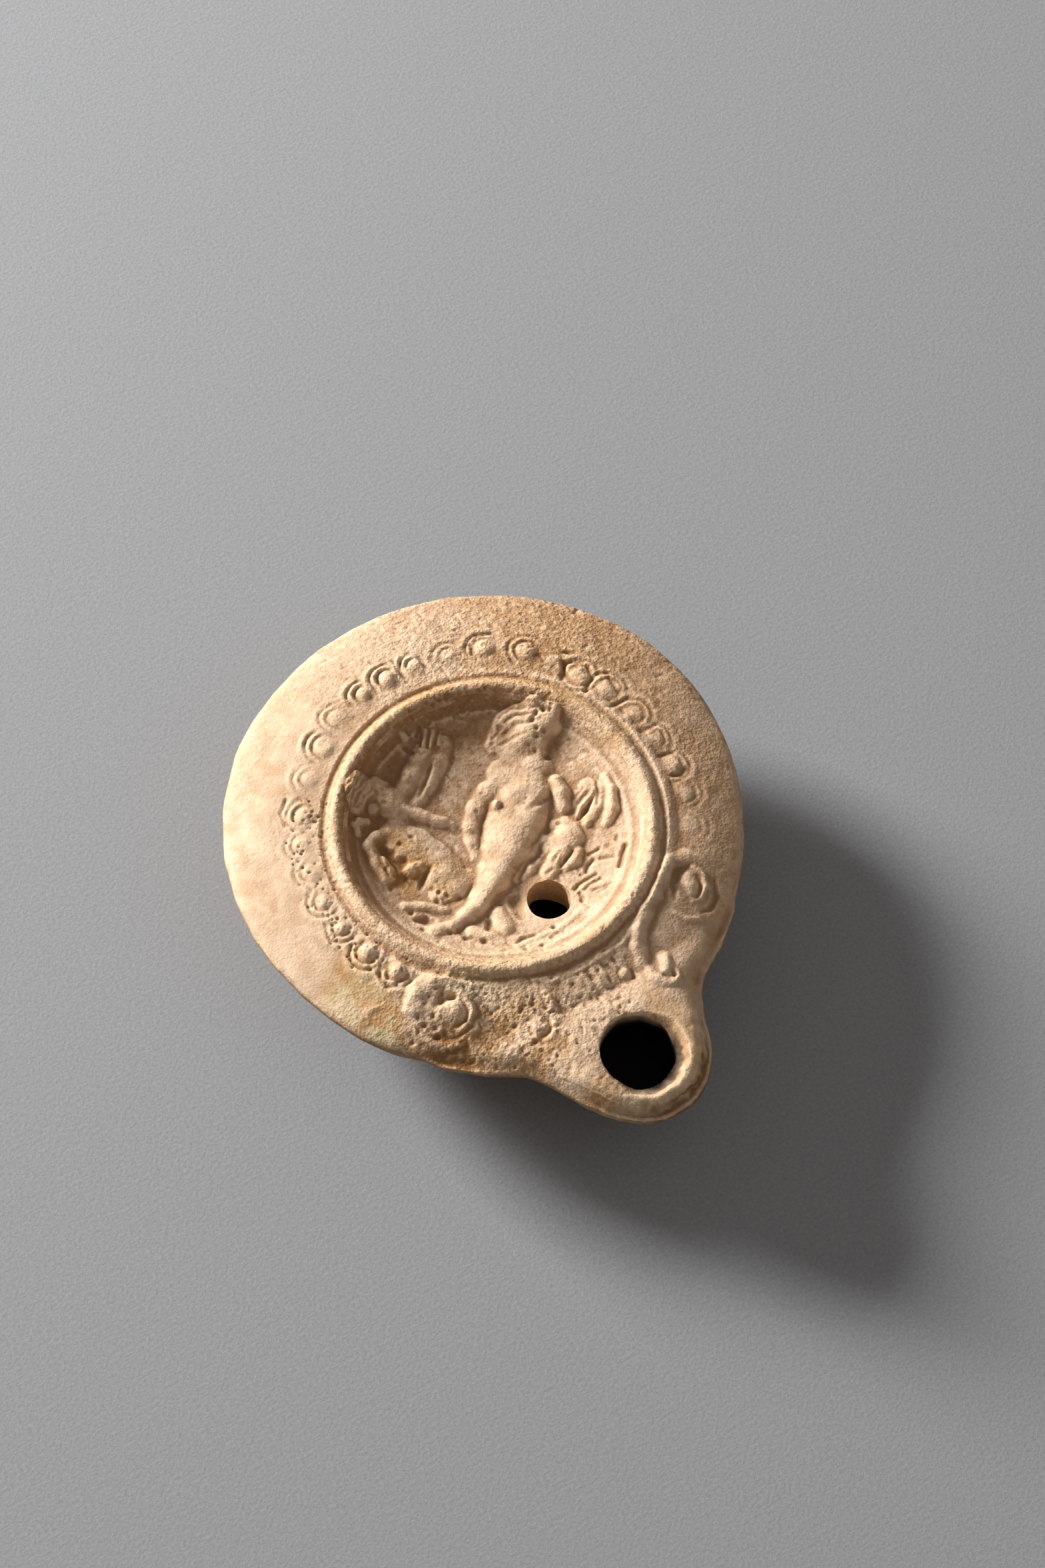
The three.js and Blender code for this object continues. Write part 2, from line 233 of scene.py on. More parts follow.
# Body and spout are luted together and smoothed with a wet finger, which rounds every inner corner.
bpy.ops.object.select_all(action="DESELECT")
spout.select_set(True)
body.select_set(True)
bpy.context.view_layer.objects.active = body
bpy.ops.object.join()
luting = body.modifiers.new("luting", "REMESH")
luting.mode = "VOXEL"
luting.voxel_size = (0.0002)
bpy.ops.object.modifier_apply(modifier=luting.name)
wiping = body.modifiers.new("wiping", "SMOOTH")
wiping.factor = 0.5
wiping.iterations = 4
bpy.ops.object.modifier_apply(modifier=wiping.name)
spots = np.empty(len(body.data.vertices) * 3)
body.data.vertices.foreach_get("co", spots)
spots = spots.reshape(-1, 3) / MM
seam_share = (np.clip((-24 - spots[:, 1]) / 6, 0, 1) * np.clip((spots[:, 1] + 51) / 5, 0, 1)
              * np.clip((np.abs(spots[:, 0]) - 9) / 4, 0, 1))
luting_seam = body.vertex_groups.new(name="luting_seam")
for step in range(1, 11):
    at_seam = np.flatnonzero(np.round(seam_share * 10).astype(int) == step)
    luting_seam.add(at_seam.tolist(), step / 10, "REPLACE")
wiping = body.modifiers.new("seam_wiping", "SMOOTH")
wiping.factor = 0.9
wiping.iterations = 60
wiping.vertex_group = "luting_seam"
bpy.ops.object.modifier_apply(modifier=wiping.name)
body.vertex_groups.clear()

# The relief. It comes from the mould, softened by wear, and is worked here on the body's own points:
# ridges and hollow lines in mm, seen from above, with x to the right and the spout towards -y.
count = len(body.data.vertices)
points = np.empty(count * 3)
body.data.vertices.foreach_get("co", points)
points = points.reshape(-1, 3) / MM
facing = np.empty(count * 3)
body.data.vertices.foreach_get("normal", facing)
facing = facing.reshape(-1, 3)
px, py, pz = points[:, 0].copy(), points[:, 1].copy(), points[:, 2].copy()
turn = np.degrees(np.arctan2(py, px)) % 360
# The hand-pressed outline is a little out of round.
swell_at = (0, 20, 30, 60, 90, 110, 130, 160, 190, 200, 210, 220, 230, 300, 310, 330, 350, 360)
swell_by = (0.4, 0.95, 0.85, 0.4, 0.2, 0.0, 0.3, 0.05, -0.4, -0.4, 0.2, 0.6, 0.3, 0.3, 0.4, -0.2, 0.1, 0.4)
reach = np.hypot(px, py)
push = np.interp(turn, swell_at, swell_by) * np.clip((reach - 26) / 14, 0, 1) * np.clip((py + 46) / 10, 0, 1)
points[:, 0] += px / np.maximum(reach, 1) * push
points[:, 1] += py / np.maximum(reach, 1) * push
on_top = np.flatnonzero((facing[:, 2] > 0.25) & (pz > 18))
tx, ty = points[on_top, 0], points[on_top, 1]
rise = np.zeros(len(on_top))
edge_ends = np.empty(len(body.data.edges) * 2, dtype=np.int64)
body.data.edges.foreach_get("vertices", edge_ends)
edge_ends = edge_ends.reshape(-1, 2)
top_number = np.full(count, -1)
top_number[on_top] = np.arange(len(on_top))
edge_ends = top_number[edge_ends]
edge_ends = edge_ends[(edge_ends >= 0).all(axis=1)]
edge_count = np.maximum(np.bincount(edge_ends.ravel(), minlength=len(on_top)), 1)


def soften(times_over):
    """Rounds the relief off, as a finger dipped in slip would."""
    for turn_over in range(times_over):
        total = (np.bincount(edge_ends[:, 0], rise[edge_ends[:, 1]], len(rise))
                 + np.bincount(edge_ends[:, 1], rise[edge_ends[:, 0]], len(rise)))
        rise[:] = 0.4 * rise + 0.6 * total / edge_count


def lattice(x, y, z, seed):
    """Even pseudo-random numbers from whole lattice places."""
    mixed = (x * 374761393 + y * 668265263 + z * 2147483647 + seed * 974634777) & 0xFFFFFFFF
    mixed = ((mixed ^ (mixed >> 13)) * 1274126177) & 0xFFFFFFFF
    return ((mixed ^ (mixed >> 16)) & 0xFFFF) / 32767.5 - 1


def grit(where, size, seed):
    """Smooth noise from -1 to 1 with lumps of the given size in mm."""
    spots = where / size + 1000
    low = np.floor(spots).astype(np.int64)
    f = spots - low
    f = f * f * (3 - 2 * f)
    total = 0
    for i in (0, 1):
        for j in (0, 1):
            for k in (0, 1):
                share = (f[:, 0] if i else 1 - f[:, 0]) * (f[:, 1] if j else 1 - f[:, 1]) * (f[:, 2] if k else 1 - f[:, 2])
                total = total + share * lattice(low[:, 0] + i, low[:, 1] + j, low[:, 2] + k, seed)
    return total


top_points = np.column_stack((tx, ty, points[on_top, 2]))


def unsteady(size, by, seed):
    """The seen-from-above places of the top's points, moved about in lumps of the given size, so that
    strokes drawn on them come out as uneven as a worn mould leaves them."""
    return (top_points[:, 0] + by * grit(top_points, size, seed) + 0.4 * by * grit(top_points, size * 0.4, seed + 1),
            top_points[:, 1] + by * grit(top_points, size, seed + 2) + 0.4 * by * grit(top_points, size * 0.4, seed + 3))


def blended_max(a, b, blend):
    """The higher of two surfaces, with their meeting line filled in as clay would be."""
    gap = np.clip(blend - np.abs(a - b), 0, None)
    return np.maximum(a, b) + gap * gap / (4 * blend)


def along(stroke):
    """For a stroke of (x, y, half width, height): the points near each part of it, how far out
    they lie from its middle line (0) to its edge (1), and the height there."""
    for (x1, y1, w1, h1), (x2, y2, w2, h2) in zip(stroke, stroke[1:]):
        wide = max(w1, w2) * 1.02
        near = np.flatnonzero((tx > min(x1, x2) - wide) & (tx < max(x1, x2) + wide)
                              & (ty > min(y1, y2) - wide) & (ty < max(y1, y2) + wide))
        dx, dy = x2 - x1, y2 - y1
        share = ((tx[near] - x1) * dx + (ty[near] - y1) * dy) / max(dx * dx + dy * dy, 1e-9)
        share = np.clip(share, 0, 1)
        off = np.hypot(tx[near] - x1 - share * dx, ty[near] - y1 - share * dy)
        off /= w1 + share * (w2 - w1)
        yield near, off, h1 + share * (h2 - h1)


mould_wear = 0.72  # a worn mould gives lower figures than it was cut to


def ridge(*stroke, blend=0.5, fullness=0.85):
    """A round-topped raised stroke."""
    for near, off, height in along(stroke):
        height = np.where(off < 1, mould_wear * height * np.clip(1 - off * off, 0, 1) ** fullness, -9)
        rise[near] = np.where(off < 1, blended_max(rise[near], height, blend), rise[near])


def groove(*stroke):
    """A hollow stroke, such as a graver or a fold leaves."""
    cut = np.zeros(len(rise))
    for near, off, depth in along(stroke):
        cut[near] = np.maximum(cut[near], mould_wear * depth * np.clip(1 - off * off, 0, 1))
    rise[:] -= cut


def pellet(x, y, radius, height):
    """A small round boss."""
    ridge((x - 0.01, y, radius, height), (x + 0.01, y, radius, height), blend=0.2, fullness=0.9)


def pit(x, y, radius, depth):
    """A small round hollow."""
    groove((x - 0.01, y, radius, depth), (x + 0.01, y, radius, depth))
tx, ty = unsteady(2.6, 0.22, 61)
# The leaning figure: back and hips, the raised crest of the legs, then shoulders and chest.
ridge((12.0, 4.2, 3.0, 1.5), (9, 2.4, 4.0, 2.0), (4.6, -1.2, 4.5, 2.2), (0.6, -5.4, 4.0, 2.3), (-4.6, -9.9, 2.6, 2.1),
      (-8.8, -12.6, 1.8, 1.8), (-14, -13.9, 1.3, 1.2), (-17, -13.4, 1.1, 0.7))
ridge((10.2, 0.2, 2.4, 2.3), (6.4, -3.0, 3.2, 2.9), (1.8, -6.4, 3.3, 3.1), (-3.6, -9.9, 2.4, 2.7), (-8.0, -12.6, 1.6, 2.0),
      blend=0.8)
ridge((3.0, -3.4, 3.6, 2.8), (1.4, -4.8, 3.4, 2.8), blend=0.9)
ridge((7.2, 6.0, 3.0, 1.2), (11.5, 5.2, 3.2, 1.7), blend=0.9)
ridge((6.6, 2.2, 3.2, 2.1), (9.4, 1.8, 3.6, 2.4), blend=0.9)
# The near arm, from the shoulder down over the hip, the pellet beside it, and the stump of the far arm.
ridge((7.6, 5.6, 2.0, 1.3), (3.8, 5.0, 1.8, 1.2), (0.4, 3.4, 1.6, 1.0), (-2.0, 1.0, 1.4, 0.9), (-3.4, -1.8, 1.1, 0.7),
      (-4.2, -4.4, 0.8, 0.4), blend=0.8)
groove((4.8, 3.2, 0.8, 0.1), (2.0, 2.2, 0.9, 0.25), (0.0, 0.4, 0.8, 0.25), (-1.6, -2.4, 0.7, 0.15))
for x, y in ((2.2, 4.8), (0.2, 2.6), (-1.9, 1.9), (-2.4, -0.4), (-3.6, -2.6)):
    pit(x, y, 0.4, 0.35)
pellet(3.4, 1.9, 1.15, 3.1)
ridge((13.6, 0.6, 1.5, 1.9), (13.4, -1.6, 1.8, 2.2), (12.6, -4.0, 1.3, 1.5))
groove((7.2, -2.2, 0.6, 0.3), (9.4, -1.7, 0.9, 0.6), (11.6, -1.1, 0.7, 0.6))
# The leg behind, and a fold beside it.
ridge((7.0, -6.7, 0.8, 0.9), (3.6, -8.9, 0.9, 1.1), (-0.6, -11.2, 0.8, 1.0), blend=0.2)
groove((6.2, -8.1, 0.5, 0.4), (3.0, -9.9, 0.6, 0.8), (0.0, -11.5, 0.6, 0.6))
ridge((0.6, -11.7, 0.6, 0.4), (2.4, -10.9, 1.0, 0.8), (4.2, -10.0, 0.6, 0.4))
# Its head: a rounded mass, tilted, with loose hair in thick locks and drilled curls.
ridge((14.8, 7.4, 1.4, 1.7), (13.6, 5.6, 1.1, 1.5))
ridge((10.8, 9.0, 2.8, 1.7), (13.8, 9.6, 3.6, 2.7), (17.2, 9.6, 2.6, 2.7), blend=0.9)
ridge((12.4, 13.0, 2.2, 1.6), (16.2, 12.2, 2.4, 2.1), (18.6, 10.2, 1.6, 2.0), blend=0.9)
ridge((8.6, 11.4, 1.7, 0.8), (11.2, 13.6, 1.7, 0.9), blend=0.9)
for lock in (((11.6, 14.6), (13.6, 14.4), (15.4, 13.4)), ((11.4, 13.2), (13.4, 13.2), (15.8, 12.0)),
             ((10.6, 11.8), (12.8, 12.0), (15.0, 10.8)), ((9.4, 10.6), (11.4, 10.4), (13.4, 9.8)),
             ((15.8, 12.8), (17.4, 12.2), (18.4, 10.8)), ((8.6, 12.4), (10.0, 12.6))):
    groove(*[(x, y, 0.34, 0.34) for x, y in lock])
for x, y, radius, depth in ((16.5, 11.6, 0.6, 0.9), (17.7, 11.5, 0.5, 0.7), (15.6, 11.0, 0.6, 0.8), (15.4, 9.4, 0.5, 0.6),
                            (10.4, 13.0, 0.6, 0.5), (8.3, 11.4, 0.5, 0.4), (14.6, 8.3, 0.4, 0.6), (13.4, 6.6, 0.4, 0.5),
                            (12.9, 7.8, 0.4, 0.4), (18.6, 10.9, 0.4, 0.5), (16.0, 8.4, 0.5, 0.6), (14.6, 5.0, 0.6, 0.8)):
    pit(x, y, radius, depth)
# The second figure, at the left, leans out of the ground: combed hair, a broad back and bent arms.
ridge((-16.9, 12.2, 1.8, 1.7), (-15.4, 13.4, 2.7, 2.4), (-14.3, 14.9, 1.8, 1.9), blend=0.7)
for k in range(6):
    across_hair = -2.1 + 0.85 * k
    lock_x, lock_y = -15.6 - 0.62 * across_hair, 13.3 + 0.72 * across_hair
    groove((lock_x - 2.0, lock_y - 1.3, 0.22, 0.12), (lock_x - 0.7, lock_y - 0.2, 0.34, 0.42),
           (lock_x + 0.7, lock_y + 0.3, 0.32, 0.4), (lock_x + 1.9, lock_y + 1.4, 0.22, 0.12))
pellet(-17.6, 11.1, 0.9, 1.5)
pellet(-14.8, 10.3, 1.3, 1.7)
ridge((-19.3, 7.6, 0.8, 1.0), (-18.9, 8.8, 0.9, 1.4), (-17.8, 9.2, 0.9, 1.4), (-16.9, 8.9, 0.7, 0.9))
ridge((-13.0, 12.8, 2.8, 1.8), (-11.9, 10.4, 3.0, 1.8), (-11.4, 8.6, 2.6, 1.5), blend=0.9)
ridge((-13.6, 4.2, 3.6, 1.5), (-12.0, 1.8, 3.8, 1.7), (-10.6, -1.0, 3.6, 1.5), (-10.2, -4.6, 3.6, 1.9), blend=1.0)
ridge((-10.3, 8.4, 1.2, 1.5), (-7.6, 5.8, 1.15, 1.5), (-5.6, 3.8, 1.1, 1.2), (-4.6, 2.6, 0.9, 0.7), blend=0.4)
ridge((-14.6, 5.7, 1.3, 1.5), (-16.8, 5.7, 1.4, 1.7), (-18.5, 4.6, 1.4, 1.7), (-19.0, 1.8, 1.2, 1.5), (-18.9, -1.4, 1.2, 1.2), blend=0.5)
groove((-16.9, 3.4, 0.9, 0.7), (-16.0, 2.4, 0.8, 0.6))
ridge((-17.9, 1.8, 0.8, 1.7), (-17.8, -0.2, 1.0, 1.7), (-18.1, -1.8, 0.8, 1.2), blend=0.2)
groove((-15.6, 0.9, 0.6, 0.5), (-14.8, 0.3, 0.7, 0.8))
ridge((-14.6, -1.6, 1.5, 1.9), (-12.8, -1.5, 1.6, 2.0), blend=0.3)
groove((-15.0, -5.3, 0.4, 0.4), (-14.2, -4.4, 0.6, 0.9), (-13.0, -3.5, 0.6, 1.0), (-11.4, -2.9, 0.5, 0.5))
ridge((-12.6, -7.6, 1.8, 1.0), (-9.6, -7.6, 2.0, 1.1), (-7.0, -6.8, 1.6, 0.7), blend=0.8)
for x, y in ((-13.8, 3.0), (-11.6, 3.2), (-13.2, -6.2), (-12.6, -7.6), (-13.6, -8.8), (-11.8, -8.6), (-10.4, -9.6), (-16.2, -2.6), (-19.2, -3.4)):
    pit(x, y, 0.55, 0.6)
ridge((-18.8, -7.1, 0.9, 0.8), (-16.0, -8.4, 1.0, 1.0), (-13.4, -10.4, 0.9, 0.8))
groove((-18.4, -10.4, 0.7, 0.7), (-17.2, -11.0, 1.1, 1.4), (-16.2, -11.6, 0.6, 0.8))
pit(-18.6, -8.8, 0.5, 0.7)
# A raised forearm in two soft rolls, with the fingers of its hand at the top, under the rim.
ridge((-9.6, 10.8, 1.7, 1.1), (-6.0, 13.0, 2.0, 1.4), (-2.6, 15.2, 2.1, 1.4), (-0.2, 16.4, 1.9, 1.2), blend=0.6)
ridge((-8.2, 8.4, 1.2, 0.7), (-4.4, 10.8, 1.5, 1.0), (-1.0, 13.4, 1.7, 1.1), (1.2, 15.4, 1.4, 0.9), blend=0.6)
groove((-7.2, 9.2, 0.3, 0.3), (-5.0, 10.8, 0.6, 0.9), (-3.0, 12.5, 0.45, 0.6), (-2.0, 13.4, 0.3, 0.2))
for finger in (((-2.7, 16.6), (-1.9, 17.5), (-1.0, 18.4)), ((-1.7, 15.8), (-0.8, 16.8), (0.1, 17.7)), ((-0.4, 15.9), (0.4, 16.8), (1.2, 17.4)),
               ((-2.3, 18.6), (-1.0, 19.3))):
    groove(*[(x, y, 0.34, 0.7) for x, y in finger])
ridge((-2.2, 16.4, 0.6, 1.7), (-0.6, 18.2, 0.55, 1.3), blend=0.2)
ridge((-1.3, 15.7, 0.6, 1.7), (0.5, 17.6, 0.55, 1.2), blend=0.2)
pellet(-4.2, 19.1, 0.8, 0.9)
groove((-4.9, 17.4, 0.5, 0.5), (-4.3, 16.4, 0.5, 0.5))
# At the right: a wing or bundle of leaves in curved blades, and a smooth outer roll.
ridge((14.2, -4.0, 1.4, 0.4), (17.6, -3.0, 1.6, 0.7), (19.0, -4.4, 1.2, 0.8), (17.6, -6.8, 1.2, 0.9), (14.8, -8.0, 1.1, 0.8), blend=0.6)
ridge((13.8, -6.6, 0.6, 0.7), (15.2, -5.6, 0.7, 1.0), (17.4, -4.8, 0.6, 1.1), (18.6, -3.2, 0.5, 0.9), blend=0.2)
groove((13.4, -7.2, 0.3, 0.4), (15.2, -6.5, 0.55, 1.1), (17.0, -5.8, 0.3, 0.6))
groove((15.0, -4.8, 0.3, 0.3), (17.2, -3.9, 0.3, 0.4))
groove((15.0, -3.5, 0.3, 0.3), (16.8, -2.8, 0.3, 0.4))
groove((17.4, -6.8, 0.35, 0.6), (18.6, -5.0, 0.35, 0.6), (19.2, -3.2, 0.3, 0.5))
ridge((20.6, -3.4, 0.8, 0.9), (20.4, -6.0, 1.1, 1.7), (19.0, -8.6, 1.2, 1.8), (16.9, -10.4, 0.9, 1.0), blend=0.3)
pellet(14.2, -8.6, 0.8, 1.1)
# Below it, a hand or tuft over three folds, then short sprays cut straight in the ground.
ridge((8.0, -8.8, 2.2, 1.1), (10.6, -8.8, 2.4, 1.7), (11.2, -9.8, 1.8, 1.4), blend=0.8)
ridge((9.6, -5.8, 1.2, 0.6), (11.4, -6.4, 1.2, 0.8), (12.2, -7.6, 0.9, 0.8), blend=0.5)
pit(10.4, -6.2, 0.5, 0.7)
ridge((4.4, -13.0, 1.4, 0.8), (7.6, -11.2, 2.2, 1.5), (9.8, -10.2, 2.2, 1.6), blend=0.8)
ridge((7.4, -13.6, 0.8, 0.8), (9.2, -13.4, 1.1, 1.3), (10.6, -12.2, 0.9, 1.1), blend=0.3)
groove((5.9, -11.9, 0.3, 0.4), (6.8, -11.4, 0.45, 0.8), (7.7, -10.8, 0.3, 0.4))
groove((7.0, -13.2, 0.35, 0.6), (8.2, -12.6, 0.6, 1.2), (9.6, -11.8, 0.35, 0.7))
groove((6.9, -12.8, 0.3, 0.4), (7.4, -12.1, 0.35, 0.6), (8.0, -11.3, 0.25, 0.4))
groove((4.8, -10.2, 0.25, 0.3), (6.4, -9.6, 0.25, 0.3))
groove((4.2, -13.1, 0.4, 0.5), (5.4, -12.9, 0.4, 0.5))
groove((5.3, -15.6, 0.35, 0.5), (5.6, -14.6, 0.3, 0.4))
for spray, wide, deep in ((((11.6, -13.7), (13.8, -13.6)), 0.4, 0.6), (((9.9, -16.0), (10.8, -15.2), (12.0, -14.9)), 0.45, 0.7),
                          (((8.7, -16.1), (10.0, -16.4)), 0.3, 0.4), (((6.7, -18.0), (7.6, -17.5), (11.0, -17.5)), 0.4, 0.6),
                          (((7.8, -18.9), (9.2, -18.5), (11.2, -18.6)), 0.35, 0.5), (((8.8, -19.8), (11.8, -20.2)), 0.35, 0.35),
                          (((9.2, -20.5), (11.0, -20.5)), 0.3, 0.3), (((6.9, -19.0), (6.8, -20.0), (6.2, -20.7)), 0.45, 0.7),
                          (((14.7, -18.4), (15.9, -17.1), (17.4, -15.9)), 0.6, 0.9), (((12.9, -15.3), (14.7, -16.2)), 0.4, 0.5),
                          (((16.8, -14.0), (17.3, -13.4)), 0.4, 0.5), (((14.8, -14.1), (15.2, -14.0)), 0.4, 0.3),
                          (((2.4, -22.9), (3.6, -22.9), (5.2, -22.3)), 0.35, 0.45)):
    groove(*[(x, y, wide, deep) for x, y in spray])
# The ground line: lumps and rolls at the bottom and left.
ridge((-6.3, -15.2, 1.4, 0.9), (-6.6, -18.2, 1.6, 1.1), blend=0.5)
ridge((-11.6, -16.2, 1.3, 0.8), (-9.8, -18.2, 1.2, 0.8), (-8.6, -20.2, 0.9, 0.4), blend=0.5)
groove((-9.0, -17.2, 0.8, 0.8), (-8.2, -16.2, 0.7, 0.9))
groove((-13.4, -17.0, 0.5, 0.7), (-12.4, -17.4, 0.4, 0.5))
pit(-10.9, -19.0, 0.7, 0.8)
groove((-2.6, -14.6, 1.5, 0.9), (-3.4, -17.6, 1.0, 0.7))
ridge((-6.8, -22.6, 0.7, 0.4), (-3.0, -22.9, 0.8, 0.5), (1.6, -22.9, 0.7, 0.4), (5.6, -22.0, 0.6, 0.3), blend=0.3)
groove((-6.6, -22.1, 0.4, 0.5), (-5.4, -21.8, 0.6, 0.7), (-3.4, -22.2, 0.45, 0.6))
pit(0.0, -22.5, 0.6, 0.9)
ridge((-5.2, -23.9, 0.6, 0.4), (-1.6, -24.2, 0.7, 0.4), blend=0.3)
for x, y in ((-6.2, -24.1), (-3.5, -24.8), (-1.4, -24.2), (-13.6, -15.2), (-15.0, -15.0), (-18.6, -12.4)):
    pit(x, y, 0.5, 0.5)
soften(2)

# The stamped ring of eggs on the shoulder. Each is a low boss with hooped lines pressed round it. The
# mould was worn, so some are sharp, some are open on one side and some have almost gone.
mould_wear = 1.0
picture_rise = rise.copy()
rise[:] = 0
tx, ty = unsteady(2.4, 0.2, 51)


def hoop(x, y, radius, half_width, height, start, end, stretch=1.0):
    """A hooped line round (x, y), raised or, with a negative height, hollow, from start to end degrees,
    anticlockwise from +x. It fades towards its ends unless it is closed."""
    steps = max(6, int(abs(end - start) / 15))
    stroke = []
    for k in range(steps + 1):
        bend = math.radians(start + (end - start) * k / steps)
        fade = 1.0 if abs(end - start) >= 350 else 1 - 0.75 * abs(2 * k / steps - 1) ** 2
        stroke.append((x + radius * stretch * math.cos(bend), y + radius * math.sin(bend),
                       half_width, abs(height) * fade))
    if height > 0:
        ridge(*stroke, blend=0.15)
    else:
        groove(*stroke)


# Strong eggs: place, boss radius and height, then where the double line round them begins and ends.
for x, y, boss, height, sharp, start, end in (
        (-16.7, 23.3, 1.7, 0.4, 0.9, 75, 200), (-21.6, 19.3, 1.3, 0.08, 0.15, 90, 200),
        (-25.6, 14.0, 1.5, 0.25, 0.5, 80, 235), (-28.3, 9.5, 1.4, 0.1, 0.05, 90, 220),
        (-29.4, 4.3, 1.5, 0.05, 0.1, 110, 240), (-30.4, -1.2, 1.2, 0.4, 0.5, 120, 290),
        (-30.2, -6.9, 1.0, 0.45, 0.55, 140, 320), (-28.6, -12.7, 1.5, 0.6, 0.8, 120, 320),
        (-26.2, -17.7, 1.3, 0.65, 0.8, 90, 290), (-12.3, 26.9, 1.5, 0.25, 0.45, 85, 215),
        (-6.5, 28.6, 1.2, 0.4, 1.0, 85, 195), (-1.6, 29.2, 1.4, 0.5, 1.15, 75, 200), (3.7, 29.0, 1.2, 0.4, 0.7, 95, 200),
        (9.2, 27.8, 1.3, 0.25, 0.4, 40, 150), (15.2, 26.4, 1.6, 0.4, 0.8, 35, 185), (21.0, 22.3, 1.7, 0.55, 1.1, 30, 190),
        (24.1, 18.3, 1.2, 0.15, 0.1, -40, 60), (26.2, 13.8, 1.8, 0.35, 0.3, 0, 360),
        (29.0, 9.2, 1.7, 0.25, 0.35, -60, 110), (30.1, 3.1, 1.6, 0.3, 0.4, -100, 110),
        (30.5, -2.4, 1.6, 0.3, 0.3, -60, 60), (30.6, -8.1, 1.6, 0.25, 0.3, -110, 20),
        (30.0, -13.2, 1.5, 0.1, 0.0, -100, 0), (27.8, -18.8, 1.5, 0.0, -0.1, -90, 40)):
    sharp = 0.25 + 0.85 * sharp
    pellet(x, y, boss + 0.2, 0.15 + height)
    hoop(x, y, boss + 0.35, 0.45, -0.42 * sharp, start - 25, end + 25)
    hoop(x, y, boss + 0.9, 0.5, 0.3 * sharp, start - 15, end + 15)
    hoop(x, y, boss + 1.5, 0.45, -0.6 * sharp, start - 10, end + 10)
    hoop(x, y, boss + 2.1, 0.6, 0.2 * sharp, start + 10, end - 10)
# The odd lines that don't follow the rule: joins between eggs, and doubled stamps.
for stroke in (((-29.0, 14.0), (-28.6, 16.4), (-26.8, 17.9)), ((1.0, 31.6), (0.8, 29.6), (1.2, 28.0)),
               ((1.9, 31.0), (1.7, 29.2)), ((4.8, 30.2), (5.0, 28.0)), 
               ((25.0, 17.6), (24.2, 14.8)), ((25.8, 19.4), (27.6, 18.2)), ((23.4, 14.6), (25.3, 17.3)),
               ((25.3, 17.1), (27.9, 15.9)), ((28.1, 14.6), (27.6, 12.3), (25.2, 10.5)), ((27.5, 12.1), (29.0, 12.6), (30.6, 12.0)),
               ((30.2, 11.0), (30.0, 8.0)), ((27.4, 6.0), (31.2, 6.3)), ((29.2, -0.5), (32.3, -0.2)),
               ((29.8, -5.6), (32.0, -5.9)), ((29.9, -9.8), (31.0, -10.5), (32.6, -9.5)),
               ((12.9, 26.2), (13.4, 28.0), (15.2, 29.0), (17.5, 28.3)), ((32.2, 25.9), (33.9, 26.9)),
               ((-28.9, -16.9), (-26.0, -15.3)), ((-27.2, -19.5), (-25.2, -19.4)), ((-28.9, -19.2), (-28.3, -19.5))):
    groove(*[(x, y, 0.4, 0.5) for x, y in stroke])
ridge((-35.2, -21.6, 0.5, 0.2), (-33.4, -20.6, 0.7, 0.35), (-31.6, -21.0, 0.5, 0.2), blend=0.1)

# The volutes beside the spout, large and small on each side: broad rolls that wind in to a boss. The
# left ones are coarse and pitted, the right ones lie in the lee of the ring and are smoother.
pellet(-22.6, -27.4, 5.6, 0.45)
ridge((-27.8, -27.4, 1.1, 0.3), (-27.0, -24.4, 1.7, 0.75), (-25.0, -22.5, 1.9, 1.0), (-22.4, -21.9, 1.8, 1.0),
      (-20.0, -23.0, 1.4, 0.7), (-17.4, -25.4, 1.1, 0.35), blend=0.4)
groove((-28.2, -22.4, 0.3, 0.2), (-26.4, -20.7, 0.4, 0.5), (-24.4, -20.0, 0.4, 0.4), (-22.6, -20.0, 0.3, 0.1))
groove((-23.6, -25.9, 0.7, 0.6), (-21.9, -25.0, 1.0, 1.1), (-20.6, -26.0, 0.7, 0.8))
groove((-22.6, -26.0, 0.8, 0.7), (-21.0, -26.2, 0.8, 0.7))
pellet(-22.0, -28.2, 1.8, 0.85)
hoop(-22.0, -28.2, 2.4, 0.55, -0.5, -160, 60)
hoop(-22.0, -28.2, 3.2, 0.65, 0.5, -130, 40)
hoop(-22.2, -28.0, 4.3, 0.7, -0.45, -160, 0)
hoop(-22.6, -27.6, 5.3, 0.8, 0.4, 185, 305)
for x, y in ((-27.2, -26.0), (-26.6, -27.6), (-25.4, -28.8), (-26.0, -30.0), (-24.6, -30.4), (-24.9, -27.2), (-23.4, -31.0)):
    pit(x, y, 0.45, 0.55)
groove((-17.8, -28.0, 1.3, 0.35), (-17.0, -32.6, 1.8, 0.5), (-15.8, -36.6, 1.3, 0.4))
pellet(-12.0, -36.6, 3.0, 0.5)
pellet(-11.8, -36.9, 1.5, 0.8)
hoop(-11.8, -36.9, 2.2, 0.5, -0.45, -110, 60)
hoop(-11.8, -36.9, 3.0, 0.6, 0.35, -90, 40)
for x, y in ((-14.6, -35.0), (-14.0, -37.6), (-13.2, -39.0), (-10.4, -33.4), (-12.4, -33.2), (-9.0, -35.0), (-9.2, -38.4), (-15.4, -38.8)):
    pit(x, y, 0.5, 0.5)
ridge((-7.7, -33.0, 0.8, 0.45), (-7.9, -37.0, 0.8, 0.45))
